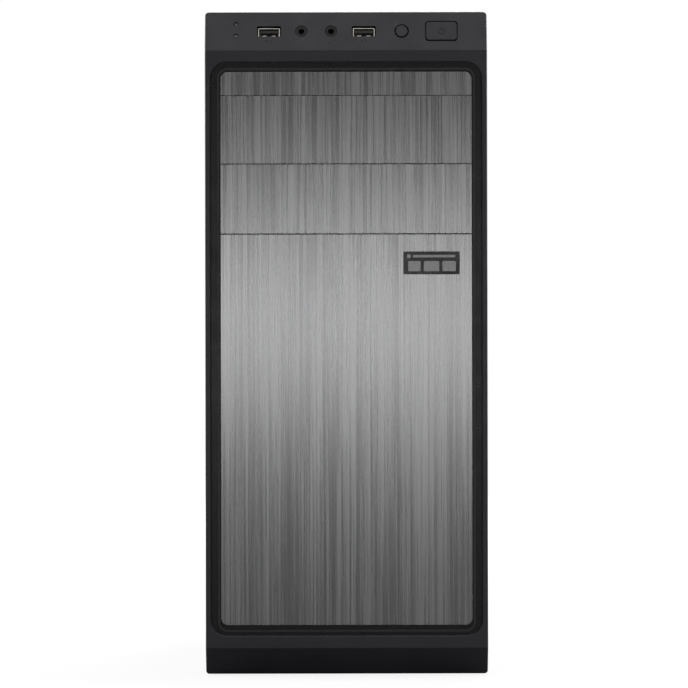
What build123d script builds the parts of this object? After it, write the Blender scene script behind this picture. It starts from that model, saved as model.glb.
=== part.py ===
"""Desktop computer tower: a moulded front on a sheet-steel case with its working parts inside.

The tower stands on its feet at Z 0, faces -Y, and its origin is under the middle of its box.
"""
from build123d import *
from math import atan2, cos, pi, radians, sin, tan
import os

os.makedirs("parts", exist_ok=True)

# ---------------------------------------------------------------- driving dimensions, mm
tower_width = 173.0
tower_height = 407.6
bezel_face = -185.0          # Y of the bezel's flat front
bezel_back = -163.0          # Y where the bezel meets the chassis
bezel_bottom = 1.2
bezel_wall = 2.5
strip_foot = 383.5           # Z where the control strip starts to lean back
strip_lean = 8.0             # how far the control strip leans back
toe_top = 17.5               # Z where the bottom strip starts to lean back
toe_lean = 8.0

recess_half = 83.0           # half width of the recess in the bezel's face
recess_low, recess_high = 25.2, 376.4
recess_radius = 10.0
groove_floor = bezel_face + 3.2
rim_top = bezel_face + 1.4
rim_width = 1.2
rim_half = 78.9
rim_low, rim_high = 27.4, 372.9
rim_radius = 6.0
insert_face = bezel_face + 1.0
insert_back = bezel_face + 3.0
insert_half = 77.1
badge_column, badge_row = 52.2, 253.3
badge_width, badge_height, badge_thickness = 34.4, 14.0, 0.8
insert_low, insert_high = 31.5, 370.4
insert_radius = 4.4
filler_joint, bay_joint, panel_joint = 355.9, 314.0, 271.1   # Z of the lines between the covers
joint_gap = 0.4
bay_half = 73.5
bay_margin = 1.4
peg_radius = 2.1             # behind the filler strip and the lower panel
post_width, post_height = 3.0, 8.0           # of the bezel's posts

sheet = 0.8
chassis_front = -163.0
chassis_rear = 177.0
chassis_low, chassis_high = 10.0, 405.0
chassis_half = 85.0
panel_outer = 86.0
shelf_width = 6.0
shelf_drop = 9.0             # from the top of the chassis to the bottom of its side shelf
hook_low = 11.0              # from the top of the chassis to the underside of the panel's hook
hook_reach = 7.5
hook_height = 6.8
side_flange = 12.0           # depth of the front and rear plates' side flanges
flange_clear = 14.0          # height kept free of side flanges for the hooks
panel_front = -162.8

thumbscrew_x = 80.0
thumbscrew_rows = (33.0, 382.0)
thumbscrew_head = 7.2
thumbscrew_radius = 5.5
thumbscrew_shank = 1.7

strip_rise = tower_height - strip_foot
strip_tilt = atan2(strip_lean, strip_rise)
toe_tilt = atan2(toe_lean, toe_top - bezel_bottom)
strip_plane = Plane(
    origin=(0, bezel_face, strip_foot), x_dir=(1, 0, 0), z_dir=(0, -cos(strip_tilt), sin(strip_tilt))
)
control_row = 12.7           # height of ports and buttons up the control strip
usb_columns = (-47.2, 11.0)
jack_columns = (-27.3, -9.1)
led_column = -67.4
led_rows = (9.6, 17.3)
reset_column, power_column = 34.2, 58.6
usb_shell_width, usb_shell_height = 13.2, 5.8
usb_gap = 0.5                # the strip's opening stands this far off, and across, 0.25 more
usb_drop = 0.3               # a shell sits this much below the middle of its opening
usb_mouth = 1.6              # depth of a shell's mouth below the strip
jack_radius = 3.6            # the barrel that shows around each bore
jack_bore = 1.8
led_radius = 1.45
reset_radius = 3.9
power_width, power_height = 19.0, 12.1
button_gap = 0.6             # around a button's cap in its opening
lip_depth, lip_thickness = 2.6, 0.8   # the flange that keeps a button in
button_depth = 7.0           # how far a button's stem reaches below the strip
actuator_height = 0.8
switch_depth = 8.7           # of the top of each push switch's actuator
control_board_depth = 13.0

cage_half = 74.5
cage_low, cage_high = 271.0, 356.0
cage_back = -14.0
drive_bay_left, drive_bay_right = -37.0, 64.6
drive_bay_floor = 200.0
drive_low, drive_height, drive_length = 206.0, 26.1, 147.0
power_plug_x, data_plug_x = -14.0, 11.0
drive_plug_low, drive_plug_high = 210.7, 215.8

tray_face = 68.0
tray_front = -12.0
tray_top = 315.0
board_face = 59.9
board_thickness = 1.6
board_front, board_rear = -9.0, 174.0
board_low, board_high = 88.0, 314.0
standoff_radius = 3.0
board_holes = ((166, 304), (166, 150), (166, 95), (85, 304), (85, 95), (0, 304), (0, 205), (0, 118))
memory_rows = (31.0, 41.0)
main_socket_y, main_socket_z = -3.6, 262.0
cpu_socket_y, cpu_socket_z = 128.0, 307.0
data_socket_y, data_socket_z = -2.5, 150.0
panel_header_y, panel_header_z = -2.5, 100.0

port_low, port_high = 155.1, 313.9           # rear port opening
port_near, port_far = 19.3, 63.7
slot_count, slot_pitch, first_slot = 7, 20.32, 144.0
slot_cover_left, slot_cover_right = -55.0, 66.0
port_front, port_rear = 157.0, 178.2
rear_ports = (
    # low Z, high Z, height above the board, then each socket's low and high Z, and its near and far height
    (283.0, 298.0, 16.0, ((284.0, 297.0, 1.5, 7.0), (284.0, 297.0, 9.0, 14.5))),
    (262.0, 278.0, 6.4, ((263.2, 276.8, 1.0, 5.4),)),
    (236.0, 251.0, 16.0, ((237.0, 250.0, 1.5, 7.0), (237.0, 250.0, 9.0, 14.5))),
    (205.0, 221.5, 14.0, ((207.2, 219.3, 2.6, 11.0),)),
)
sound_socket_z = 172.0
sound_sockets = (6.5, 18.0, 29.5)            # heights above the board

cooler_y, cooler_z = 95.0, 245.0
cooler_radius = 45.0
cooler_base = board_face - 5.5               # where the heatsink meets the processor
cooler_depth, cooler_fan_depth = 26.0, 20.0
fan_x, fan_z, fan_size, fan_depth = -35.0, 265.0, 80.0, 25.0
fan_hole_pitch = 71.5

supply_half = 75.0
supply_low, supply_high = 316.0, 402.0
supply_front = 36.2
supply_fan_y, supply_fan_radius = 100.0, 58.0
inlet_x, inlet_z = -46.0, 372.0
rocker_x, rocker_z = -12.0, 372.0
rocker_pivot_y = 172.0
rocker_radius = 8.0
rocker_slope = 8.0           # degrees each way
supply_board = 394.0         # Z of the underside of the supply's circuit board

inner_front = chassis_front + sheet
inner_rear = chassis_rear - sheet
inner_low = chassis_low + sheet


# ---------------------------------------------------------------- shared helpers
def save(piece, name):
    """Labels a finished piece and writes it."""
    piece.part.label = name
    export_step(piece.part, f"parts/{name}.step")


def block(low, high, mode=Mode.ADD):
    """Adds or cuts the box between two opposite corners."""
    sizes = [far - near for near, far in zip(low, high)]
    middle = tuple((near + far) / 2 for near, far in zip(low, high))
    with Locations(middle):
        Box(*sizes, mode=mode)


def block_across(side, low, high, mode=Mode.ADD):
    """Adds or cuts a box given on the +X side, mirrored to the other side where side is -1."""
    near, far = sorted((side * low[0], side * high[0]))
    block((near, low[1], low[2]), (far, high[1], high[2]), mode)


def rod(start, axis, length, radius, mode=Mode.ADD):
    """Adds or cuts a cylinder from a start point along an axis."""
    with BuildSketch(Plane(origin=start, z_dir=axis)) as section:
        Circle(radius)
    extrude(section.sketch, amount=length, mode=mode)


def front_plane(y):
    """A sketch plane that faces -Y, with X to the right and Z up."""
    return Plane.XZ.offset(-y)


def front_slab(half, low, high, radius, front, back, mode=Mode.ADD):
    """A plate with round corners that stands across the front."""
    with BuildSketch(front_plane(front)) as outline:
        with Locations((0, (low + high) / 2)):
            RectangleRounded(2 * half, high - low, radius)
    extrude(outline.sketch, amount=front - back, mode=mode)


def curved_slots(radius, width, start, bridge=4.0):
    """Adds four curved air slots around the current place, with even bridges between them."""
    sweep_angle = 90 - (width + bridge) / radius * 180 / pi
    with BuildLine(mode=Mode.PRIVATE) as line:
        CenterArc((0, 0), radius, 0, sweep_angle)
    with PolarLocations(0, 4, start):
        SlotArc(line.edge(), width)


def side_profile(inset):
    """The bezel's outline seen from the side, moved inwards by a wall."""
    front = bezel_face + inset
    top, bottom = tower_height - inset, bezel_bottom + inset
    return [
        (bezel_back, bottom),
        (bezel_face + toe_lean + inset * tan((radians(90) - toe_tilt) / 2), bottom),
        (front, toe_top + inset * tan(toe_tilt / 2)),
        (front, strip_foot - inset * tan(strip_tilt / 2)),
        (bezel_face + strip_lean + inset * tan((radians(90) - strip_tilt) / 2), top),
        (bezel_back, top),
    ]


def route_radii(points, share=0.45):
    """The largest even arc that each corner of a lead's route has room for."""
    corners = [Vector(*point) for point in points]
    runs = [end - start for start, end in zip(corners, corners[1:])]
    radii = []
    for before, after in zip(runs, runs[1:]):
        half_turn = radians(before.get_angle(after) / 2)
        radii.append(share * min(before.length, after.length) / tan(half_turn))
    return radii


def make_lead(name, points, diameter):
    """A tied lead: one tube along straight runs and tangent arcs."""
    radii = route_radii(points)
    with BuildPart() as lead:
        with BuildLine() as route:
            FilletPolyline(*points, radius=radii)
        wire = route.wire()
        with BuildSketch(Plane(origin=wire @ 0, z_dir=wire % 0)):
            Circle(diameter / 2)
        sweep(path=wire)
    expected = wire.length * pi * diameter**2 / 4
    share = lead.part.volume / expected
    print(f"{name}: {wire.length:.1f} mm long, {share:.4f} of its tube's volume, radii",
          [round(radius, 1) for radius in radii])
    save(lead, name)


def make_rotor(name, centre, axis, hub_radius, tip_radius, length, blades):
    """A fan rotor: a hub cup with twisted blades, spinning about its axis."""
    chord = length * 1.35
    blade_thickness = 1.4
    with BuildPart() as blade:
        for radius, pitch in ((hub_radius - 1.0, 52), ((hub_radius + tip_radius) / 2, 40), (tip_radius, 30)):
            with BuildSketch(Plane(origin=(radius, 0, 0), x_dir=(0, 1, 0), z_dir=(1, 0, 0))):
                Rectangle(chord, blade_thickness, rotation=pitch)
        loft()
        keep = length / 2 - 0.5
        split(bisect_by=Plane.XY.offset(keep), keep=Keep.BOTTOM)
        split(bisect_by=Plane.XY.offset(-keep), keep=Keep.TOP)
    with BuildPart(Plane(origin=centre, z_dir=axis)) as rotor:
        Cylinder(hub_radius, length)
        fillet(rotor.edges().filter_by(GeomType.CIRCLE), 1.2)
        with PolarLocations(0, blades):
            add(blade.part)
        Cylinder(tip_radius, length, mode=Mode.INTERSECT)
    save(rotor, name)


# ---------------------------------------------------------------- the moulded front
def make_front_bezel():
    width = tower_width
    inner_half = width / 2 - bezel_wall
    with BuildPart() as bezel:
        with BuildSketch(Plane.YZ.offset(-width / 2)):
            with BuildLine():
                Polyline(*side_profile(0), close=True)
            make_face()
        extrude(amount=width)
        long_edges = bezel.edges().filter_by(Axis.Y)
        fillet(long_edges.group_by(Axis.Z)[-1], 2.5)
        long_edges = bezel.edges().filter_by(Axis.Y)
        fillet(long_edges.group_by(Axis.Z)[0], 2.0)
        outside = [edge for edge in bezel.edges() if edge.bounding_box().max.Y < bezel_back - 0.5]
        fillet(outside, 1.0)
        with BuildSketch(Plane.YZ.offset(-inner_half)):
            with BuildLine():
                Polyline(*side_profile(bezel_wall), close=True)
            make_face()
        extrude(amount=2 * inner_half, mode=Mode.SUBTRACT)
        tub_back = groove_floor + bezel_wall
        front_slab(inner_half, recess_low - 1.5, recess_high + 1.5, recess_radius + 1,
                   bezel_face + bezel_wall, tub_back)
        front_slab(recess_half, recess_low, recess_high, recess_radius,
                   bezel_face, groove_floor, Mode.SUBTRACT)
        lip = bezel.faces().filter_by(Axis.Y).sort_by(Axis.Y)[0].inner_wires()[0].edges()
        fillet(lip, 0.8)
        with BuildSketch(front_plane(groove_floor)) as rim:
            with Locations((0, (rim_low + rim_high) / 2)):
                RectangleRounded(2 * rim_half, rim_high - rim_low, rim_radius)
                RectangleRounded(2 * (rim_half - rim_width), rim_high - rim_low - 2 * rim_width,
                                 rim_radius - rim_width, mode=Mode.SUBTRACT)
        extrude(rim.sketch, amount=groove_floor - rim_top)
        for low, high in ((panel_joint, bay_joint), (bay_joint, filler_joint)):
            block((-bay_half, groove_floor - 1, low + bay_margin),
                  (bay_half, tub_back + 1, high - bay_margin), Mode.SUBTRACT)
        cut_control_holes()
        cut_toe_vents()
        add_clip_posts(tub_back)
        with BuildSketch(front_plane(groove_floor)) as pegs:
            with Locations(*peg_places()):
                Circle(peg_radius + 0.2)
        extrude(pegs.sketch, amount=-bezel_wall, mode=Mode.SUBTRACT)
    save(bezel, "front_bezel")


def peg_places():
    """Where the filler strip and the lower panel are pegged into the bezel."""
    rows = (50.0, 150.0, 255.0)
    return [(side * 60.0, row) for side in (-1, 1) for row in rows] + [(-60.0, 363.0), (60.0, 363.0)]


def control_places(columns):
    """Places in one row on the control strip."""
    return [(column, control_row) for column in columns]


def cut_control_holes():
    """Openings for the ports, LEDs and buttons through the control strip."""
    with BuildSketch(strip_plane) as holes:
        with Locations(*control_places(usb_columns)):
            RectangleRounded(usb_shell_width + 2 * usb_gap + 0.5, usb_shell_height + 2 * usb_gap, 0.7)
        with Locations(*control_places(jack_columns)):
            Circle(jack_radius + 0.2)
        with Locations(*[(led_column, row) for row in led_rows]):
            Circle(led_radius + 0.05)
        with Locations((reset_column, control_row)):
            Circle(reset_radius + button_gap)
        with Locations((power_column, control_row)):
            RectangleRounded(power_width + 2 * button_gap, power_height + 2 * button_gap, 2.3)
    extrude(holes.sketch, amount=4, both=True, mode=Mode.SUBTRACT)


def cut_toe_vents():
    """Air slots under the bezel."""
    with BuildSketch(Plane.XY.offset(bezel_bottom - 1)) as vents:
        with Locations((0, -169.5)):
            with GridLocations(17, 1, 8, 1):
                SlotOverall(13, 5)
    extrude(vents.sketch, amount=bezel_wall + 2, mode=Mode.SUBTRACT)


def clip_places():
    """Where the bezel's posts pass through the chassis front."""
    return [(side * 79.5, height) for side in (-1, 1) for height in (45.0, 205.0, 366.0)]


def add_clip_posts(tub_back):
    """Posts that push into the chassis."""
    with BuildSketch(front_plane(tub_back - 0.5)) as posts:
        with Locations(*clip_places()):
            Rectangle(post_width, post_height)
    extrude(posts.sketch, amount=tub_back - 0.5 - chassis_front - 5.0)


def insert_plate(low, high):
    """The visible plate of one front cover; only the insert's own corners are round."""
    with BuildSketch(front_plane(insert_face)) as plate:
        with Locations((0, (insert_low + insert_high) / 2)):
            RectangleRounded(2 * insert_half, insert_high - insert_low, insert_radius)
        with Locations((0, (low + high) / 2)):
            Rectangle(2 * insert_half + 2, high - low, mode=Mode.INTERSECT)
    extrude(plate.sketch, amount=insert_face - insert_back)


def pegs(columns_and_rows):
    """Pegs behind a cover."""
    with BuildSketch(front_plane(insert_back)) as section:
        with Locations(*columns_and_rows):
            Circle(peg_radius)
    extrude(section.sketch, amount=-4.5)


def soften_front(piece, size=0.25):
    """Rounds the edges of a cover's visible face."""
    face = piece.faces().filter_by(Axis.Y).sort_by(Axis.Y)[0]
    fillet(face.outer_wire().edges(), size)


def make_top_filler_strip():
    with BuildPart() as strip:
        insert_plate(filler_joint + joint_gap / 2, insert_high + 1)
        soften_front(strip)
        pegs([place for place in peg_places() if place[1] > filler_joint])
    save(strip, "top_filler_strip")


def make_lower_front_panel():
    with BuildPart() as panel:
        insert_plate(insert_low - 1, panel_joint - joint_gap / 2)
        soften_front(panel)
        pegs([place for place in peg_places() if place[1] < panel_joint])
    save(panel, "lower_front_panel")


def make_bay_cover(name, low, high):
    arm_reach = 13.0
    arm_thickness = 1.4
    arm_half = bay_half - 0.3
    with BuildPart() as cover:
        insert_plate(low + joint_gap / 2, high - joint_gap / 2)
        soften_front(cover)
        for side in (-1, 1):
            block_across(side, (arm_half - arm_thickness, insert_back, low + bay_margin + 4),
                         (arm_half, insert_back + arm_reach, high - bay_margin - 4))
        for height in (low + bay_margin + 0.3, high - bay_margin - 1.5):
            block((-arm_half, insert_back, height), (arm_half, insert_back + 3.5, height + 1.2))
    save(cover, name)


def make_badge_plate():
    with BuildPart() as badge:
        with BuildSketch(front_plane(insert_face)):
            with Locations((badge_column, badge_row)):
                RectangleRounded(badge_width, badge_height, 0.5)
        extrude(amount=badge_thickness)
        face = badge.faces().sort_by(Axis.Y)[0]
        fillet(face.edges(), 0.2)
    save(badge, "badge_plate")


def make_front_io_board():
    """The control board with its two push switches and small parts soldered on."""
    with BuildPart() as board:
        with BuildSketch(strip_plane.offset(-control_board_depth)):
            with Locations((-1, 12)):
                RectangleRounded(146, 17, 1.0)
            with Locations((-70, 12), (68, 12)):
                Circle(1.6, mode=Mode.SUBTRACT)
        extrude(amount=-board_thickness)
        with BuildSketch(strip_plane.offset(-control_board_depth)):
            for column in (-57, -18, 1, 24, 45):
                with Locations((column, 6)):
                    Rectangle(3.2, 1.6)
                with Locations((column + 5, 18.6)):
                    Rectangle(3.2, 1.6)
        extrude(amount=0.7)
        with BuildSketch(strip_plane.offset(-control_board_depth)) as switches:
            with Locations((reset_column, control_row), (power_column, control_row)):
                Rectangle(6, 6)
        extrude(switches.sketch, amount=control_board_depth - switch_depth - actuator_height)
        with BuildSketch(strip_plane.offset(-switch_depth - actuator_height)) as actuators:
            with Locations((reset_column, control_row), (power_column, control_row)):
                Circle(1.7)
        extrude(actuators.sketch, amount=actuator_height)
    save(board, "front_io_board")


def make_front_usb_ports():
    """Two metal shells, each with a block at its back that carries the contact tongue."""
    shell_wall = 0.4
    tongue_mouth = usb_mouth + 1.0
    back_thickness = 1.0
    back = control_board_depth - back_thickness
    places = [(column, control_row - usb_drop) for column in usb_columns]
    with BuildPart() as ports:
        with BuildSketch(strip_plane.offset(-usb_mouth)):
            with Locations(*places):
                RectangleRounded(usb_shell_width, usb_shell_height, 0.5)
                RectangleRounded(usb_shell_width - 2 * shell_wall, usb_shell_height - 2 * shell_wall, 0.2,
                                 mode=Mode.SUBTRACT)
        extrude(amount=usb_mouth - control_board_depth)
        with BuildSketch(strip_plane.offset(-back)):
            with Locations(*places):
                Rectangle(usb_shell_width - 0.7, usb_shell_height - 0.7)
        extrude(amount=-back_thickness)
        with BuildSketch(strip_plane.offset(-back)):
            with Locations(*[(column, row + 0.9) for column, row in places]):
                Rectangle(10.9, 1.7)
        extrude(amount=back - tongue_mouth)
    save(ports, "front_usb_ports")


def make_front_audio_jacks():
    with BuildPart() as jacks:
        with BuildSketch(strip_plane.offset(-4)):
            with Locations(*control_places(jack_columns)):
                RectangleRounded(11.4, 11.0, 0.5)
        extrude(amount=-(control_board_depth - 4))
        with BuildSketch(strip_plane.offset(-4)):
            with Locations(*control_places(jack_columns)):
                Circle(jack_radius)
        extrude(amount=3.6)
        with BuildSketch(strip_plane.offset(-0.4)):
            with Locations(*control_places(jack_columns)):
                Circle(jack_bore)
        extrude(amount=-12.0, mode=Mode.SUBTRACT)
    save(jacks, "front_audio_jacks")


def make_front_leds():
    with BuildPart() as leds:
        with BuildSketch(strip_plane.offset(-control_board_depth)):
            with Locations(*[(led_column, row) for row in led_rows]):
                Circle(led_radius)
        extrude(amount=control_board_depth - 0.5)
        tips = leds.faces().filter_by(lambda face: abs(face.normal_at().dot(strip_plane.z_dir)) > 0.99)
        for tip in tips.sort_by(strip_normal_axis())[-2:]:
            fillet(tip.edges(), 0.5)
    save(leds, "front_leds")


def strip_normal_axis():
    """The axis that sorts faces by their height above the control strip."""
    return Axis((0, 0, 0), tuple(strip_plane.z_dir))


def add_button_stem(column, radius):
    """The stem behind a button's lip, down to just above its switch."""
    lip_back = lip_depth + lip_thickness
    with BuildSketch(strip_plane.offset(-lip_back)) as stem:
        with Locations((column, control_row)):
            Circle(radius)
    extrude(stem.sketch, amount=lip_back - button_depth)


def make_power_button_cap():
    """The rectangular cap, with the power symbol sunk into its face."""
    proud = 0.3
    symbol_radius, symbol_line, symbol_depth = 1.9, 0.6, 0.5
    with BuildPart() as cap:
        with BuildSketch(strip_plane.offset(proud)):
            with Locations((power_column, control_row)):
                RectangleRounded(power_width, power_height, 2.0)
        extrude(amount=-proud - lip_depth)
        crown = cap.faces().sort_by(strip_normal_axis())[-1]
        fillet(crown.edges(), 0.5)
        with BuildSketch(strip_plane.offset(-lip_depth)):
            with Locations((power_column, control_row)):
                RectangleRounded(power_width + 2.6, power_height + 2.5, 2.0)
        extrude(amount=-lip_thickness)
        add_button_stem(power_column, 2.5)
        with BuildSketch(strip_plane.offset(proud)):
            with Locations((power_column, control_row)):
                with BuildLine():
                    CenterArc((0, 0), symbol_radius, 125, 290)
                    offset(amount=symbol_line / 2, side=Side.BOTH)
                make_face()
        extrude(amount=-symbol_depth, mode=Mode.SUBTRACT)
        with BuildSketch(strip_plane.offset(proud)):
            with Locations((power_column, control_row + 1.45)):
                RectangleRounded(symbol_line, 2.2, 0.29)
        extrude(amount=-symbol_depth, mode=Mode.SUBTRACT)
    save(cap, "power_button_cap")


def make_reset_button_cap():
    proud = 0.2
    with BuildPart() as cap:
        with BuildSketch(strip_plane.offset(proud)):
            with Locations((reset_column, control_row)):
                Circle(reset_radius)
        extrude(amount=-proud - lip_depth)
        crown = cap.faces().sort_by(strip_normal_axis())[-1]
        fillet(crown.edges(), 0.6)
        with BuildSketch(strip_plane.offset(-lip_depth)):
            with Locations((reset_column, control_row)):
                Circle(reset_radius + 1.6)
        extrude(amount=-lip_thickness)
        add_button_stem(reset_column, 2.0)
    save(cap, "reset_button_cap")


# ---------------------------------------------------------------- the steel case
def make_chassis_front_plate():
    with BuildPart() as plate:
        block((-chassis_half, chassis_front, chassis_low), (chassis_half, inner_front, chassis_high))
        for side in (-1, 1):
            block_across(side, (chassis_half - sheet, inner_front, chassis_low + flange_clear),
                         (chassis_half, inner_front + side_flange, chassis_high - flange_clear))
        for low, high in ((panel_joint, bay_joint), (bay_joint, filler_joint)):
            block((-bay_half, chassis_front - 1, low + bay_margin),
                  (bay_half, inner_front + 1, high - bay_margin), Mode.SUBTRACT)
        block((drive_bay_left, chassis_front - 1, 237),
              (drive_bay_right, inner_front + 1, 267), Mode.SUBTRACT)
        with BuildSketch(front_plane(chassis_front - 1)) as holes:
            with Locations(*clip_places()):
                Rectangle(post_width + 1.4, post_height + 1.4)
            with Locations((66, 389)):
                RectangleRounded(16, 12, 3)
            with Locations((0, 100)):
                for radius in (18, 30, 42, 54):
                    curved_slots(radius, 6.0, 15)
        extrude(holes.sketch, amount=-3, mode=Mode.SUBTRACT)
    save(plate, "chassis_front_plate")


def side_shelf_profile(top):
    """One long edge of the chassis: a side flange with an inward shelf, on the +X side."""
    return [
        (chassis_half, top),
        (chassis_half, top - shelf_drop),
        (chassis_half - shelf_width, top - shelf_drop),
        (chassis_half - shelf_width, top - shelf_drop + sheet),
        (chassis_half - sheet, top - shelf_drop + sheet),
        (chassis_half - sheet, top - sheet),
    ]


def make_horizontal_plate(name, top, upside_down=False):
    """The top or bottom plate of the chassis with its hooked long edges."""
    right = side_shelf_profile(top)
    left = [(-x, z) for x, z in reversed(right)]
    outline = right + left
    if upside_down:
        outline = [(x, 2 * top - z) for x, z in outline]
    with BuildPart() as plate:
        with BuildSketch(front_plane(inner_front)):
            with BuildLine():
                Polyline(*outline, close=True)
            make_face()
        extrude(amount=inner_front - inner_rear)
        if upside_down:
            with BuildSketch(Plane.XY.offset(top - 1)) as vents:
                with Locations((0, 20)):
                    with GridLocations(12, 26, 8, 3):
                        SlotOverall(20, 4, rotation=90)
            extrude(vents.sketch, amount=3, mode=Mode.SUBTRACT)
            with BuildSketch(Plane.XY.offset(top - 1)) as screws:
                with Locations(*foot_places()):
                    Circle(2.0)
            extrude(screws.sketch, amount=3, mode=Mode.SUBTRACT)
        else:
            for depth in (-110, -20, 70, 150):
                with BuildSketch(Plane.XY.offset(top - sheet)) as rib:
                    with Locations((0, depth)):
                        SlotOverall(120, 3)
                extrude(rib.sketch, amount=-1.0)
    save(plate, name)


def foot_places():
    """Centres of the feet."""
    return [(side * 62.0, depth) for side in (-1, 1) for depth in (-138.0, 148.0)]


def make_chassis_rear_plate():
    with BuildPart() as plate:
        block((-chassis_half, inner_rear, chassis_low), (chassis_half, chassis_rear, chassis_high))
        for side in (-1, 1):
            block_across(side, (chassis_half - sheet, inner_rear - side_flange, chassis_low + flange_clear),
                         (chassis_half, inner_rear, chassis_high - flange_clear))
            for low in (chassis_high - hook_low - 0.7, chassis_low + hook_low - hook_height - 0.5):
                block_across(side, (chassis_half - hook_reach - 0.8, inner_rear - 1, low),
                             (chassis_half + 1, chassis_rear + 1, low + hook_height + 1.2), Mode.SUBTRACT)
        block((-63, inner_rear - 1, supply_low + 6), (63, chassis_rear + 1, supply_high - 6), Mode.SUBTRACT)
        block((port_near, inner_rear - 1, port_low), (port_far, chassis_rear + 1, port_high), Mode.SUBTRACT)
        for number in range(slot_count):
            height = first_slot - number * slot_pitch
            block((-46, inner_rear - 1, height - 6.5), (58, chassis_rear + 1, height + 6.5), Mode.SUBTRACT)
        with BuildSketch(front_plane(inner_rear - 1)) as holes:
            with Locations(*[(side * thumbscrew_x, row) for side in (-1, 1) for row in thumbscrew_rows]):
                Circle(thumbscrew_shank + 0.2)
            with Locations((fan_x, fan_z)):
                with GridLocations(fan_hole_pitch, fan_hole_pitch, 2, 2):
                    Circle(2.0)
                for radius, start in ((12, 45), (20, 10), (28, 45), (36, 10)):
                    curved_slots(radius, 4.4, start, 3.0)
            with Locations(*supply_screw_places()):
                Circle(1.9)
            with Locations(*slot_screw_places()):
                Circle(1.9)
            with Locations((-35, 190)):
                with GridLocations(7, 6, 9, 5):
                    Circle(2.0)
        extrude(holes.sketch, amount=-3, mode=Mode.SUBTRACT)
    save(plate, "chassis_rear_plate")


def supply_screw_places():
    """Screws that hold the power supply to the rear plate."""
    return [(side * 69.5, height) for side in (-1, 1) for height in (322.0, 394.0)]


def slot_screw_places():
    """One screw for each expansion slot cover."""
    return [(-51.0, first_slot - number * slot_pitch) for number in range(slot_count)]


def make_motherboard_tray():
    with BuildPart() as tray:
        block((tray_face, tray_front, inner_low), (tray_face + sheet, inner_rear, tray_top))
        block((tray_face + sheet, tray_front, inner_low + 12),
              (tray_face + 8, tray_front + sheet, tray_top))
        with BuildSketch(Plane.YZ.offset(tray_face - 1)) as holes:
            with Locations((60, 60), (130, 60)):
                SlotOverall(30, 8)
        extrude(holes.sketch, amount=3, mode=Mode.SUBTRACT)
        with BuildSketch(Plane.YZ.offset(tray_face + sheet)) as ribs:
            with Locations((80, 70), (80, 190)):
                SlotOverall(150, 6)
        extrude(ribs.sketch, amount=1.0)
    save(tray, "motherboard_tray")


def make_optical_drive_cage():
    half = cage_half
    with BuildPart() as cage:
        block((-half - sheet, inner_front, cage_low - sheet), (half + sheet, cage_back, cage_low))
        for side in (-1, 1):
            block_across(side, (half, inner_front, cage_low), (half + sheet, cage_back, cage_high))
            block_across(side, (half - 3, inner_front + 14, bay_joint - sheet / 2),
                         (half, cage_back - 10, bay_joint + sheet / 2))
        with BuildSketch(Plane.YZ.offset(-half - 2)) as slots:
            with Locations((-120, 292), (-120, 335), (-60, 292), (-60, 335)):
                SlotOverall(16, 4)
        extrude(slots.sketch, amount=2 * half + 4, mode=Mode.SUBTRACT)
    save(cage, "optical_drive_cage")


def make_hard_drive_cage():
    top = cage_low - sheet
    left, right = drive_bay_left, drive_bay_right
    with BuildPart() as cage:
        block((left - sheet, inner_front, drive_bay_floor - sheet),
              (right + sheet, cage_back, drive_bay_floor))
        block((left - sheet, inner_front, drive_bay_floor), (left, cage_back, top))
        block((right, inner_front, drive_bay_floor), (right + sheet, cage_back, top))
        for low, high in ((left, left + 3), (right - 3, right)):
            block((low, inner_front + 10, 234), (high, cage_back - 10, 234 + sheet))
        with BuildSketch(Plane.YZ.offset(left - 2)) as slots:
            with Locations((-60, 251), (-120, 251)):
                SlotOverall(16, 4)
            with Locations(*drive_screw_places()):
                Circle(1.9)
        extrude(slots.sketch, amount=right - left + 4, mode=Mode.SUBTRACT)
    save(cage, "hard_drive_cage")


def drive_screw_places():
    """Side screws of the hard drive, as depth and height."""
    return [(-132.0, 212.5), (-31.0, 212.5)]


def make_feet():
    with BuildPart() as feet:
        with BuildSketch(Plane.XY.offset(chassis_low)):
            with Locations(*foot_places()):
                Circle(15.0)
        extrude(amount=-chassis_low, taper=8)
        soles = feet.faces().filter_by(Axis.Z).group_by(Axis.Z)[0]
        fillet([edge for sole in soles for edge in sole.edges()], 1.2)
        with BuildSketch(Plane.XY):
            with Locations(*foot_places()):
                Circle(6.0)
        extrude(amount=3.0, mode=Mode.SUBTRACT)
        with BuildSketch(Plane.XY.offset(chassis_low)) as shanks:
            with Locations(*foot_places()):
                Circle(1.9)
        extrude(shanks.sketch, amount=3.0)
        with BuildSketch(Plane.XY.offset(inner_low)) as heads:
            with Locations(*foot_places()):
                Circle(3.4)
        extrude(heads.sketch, amount=1.2)
    save(feet, "feet")


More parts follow.
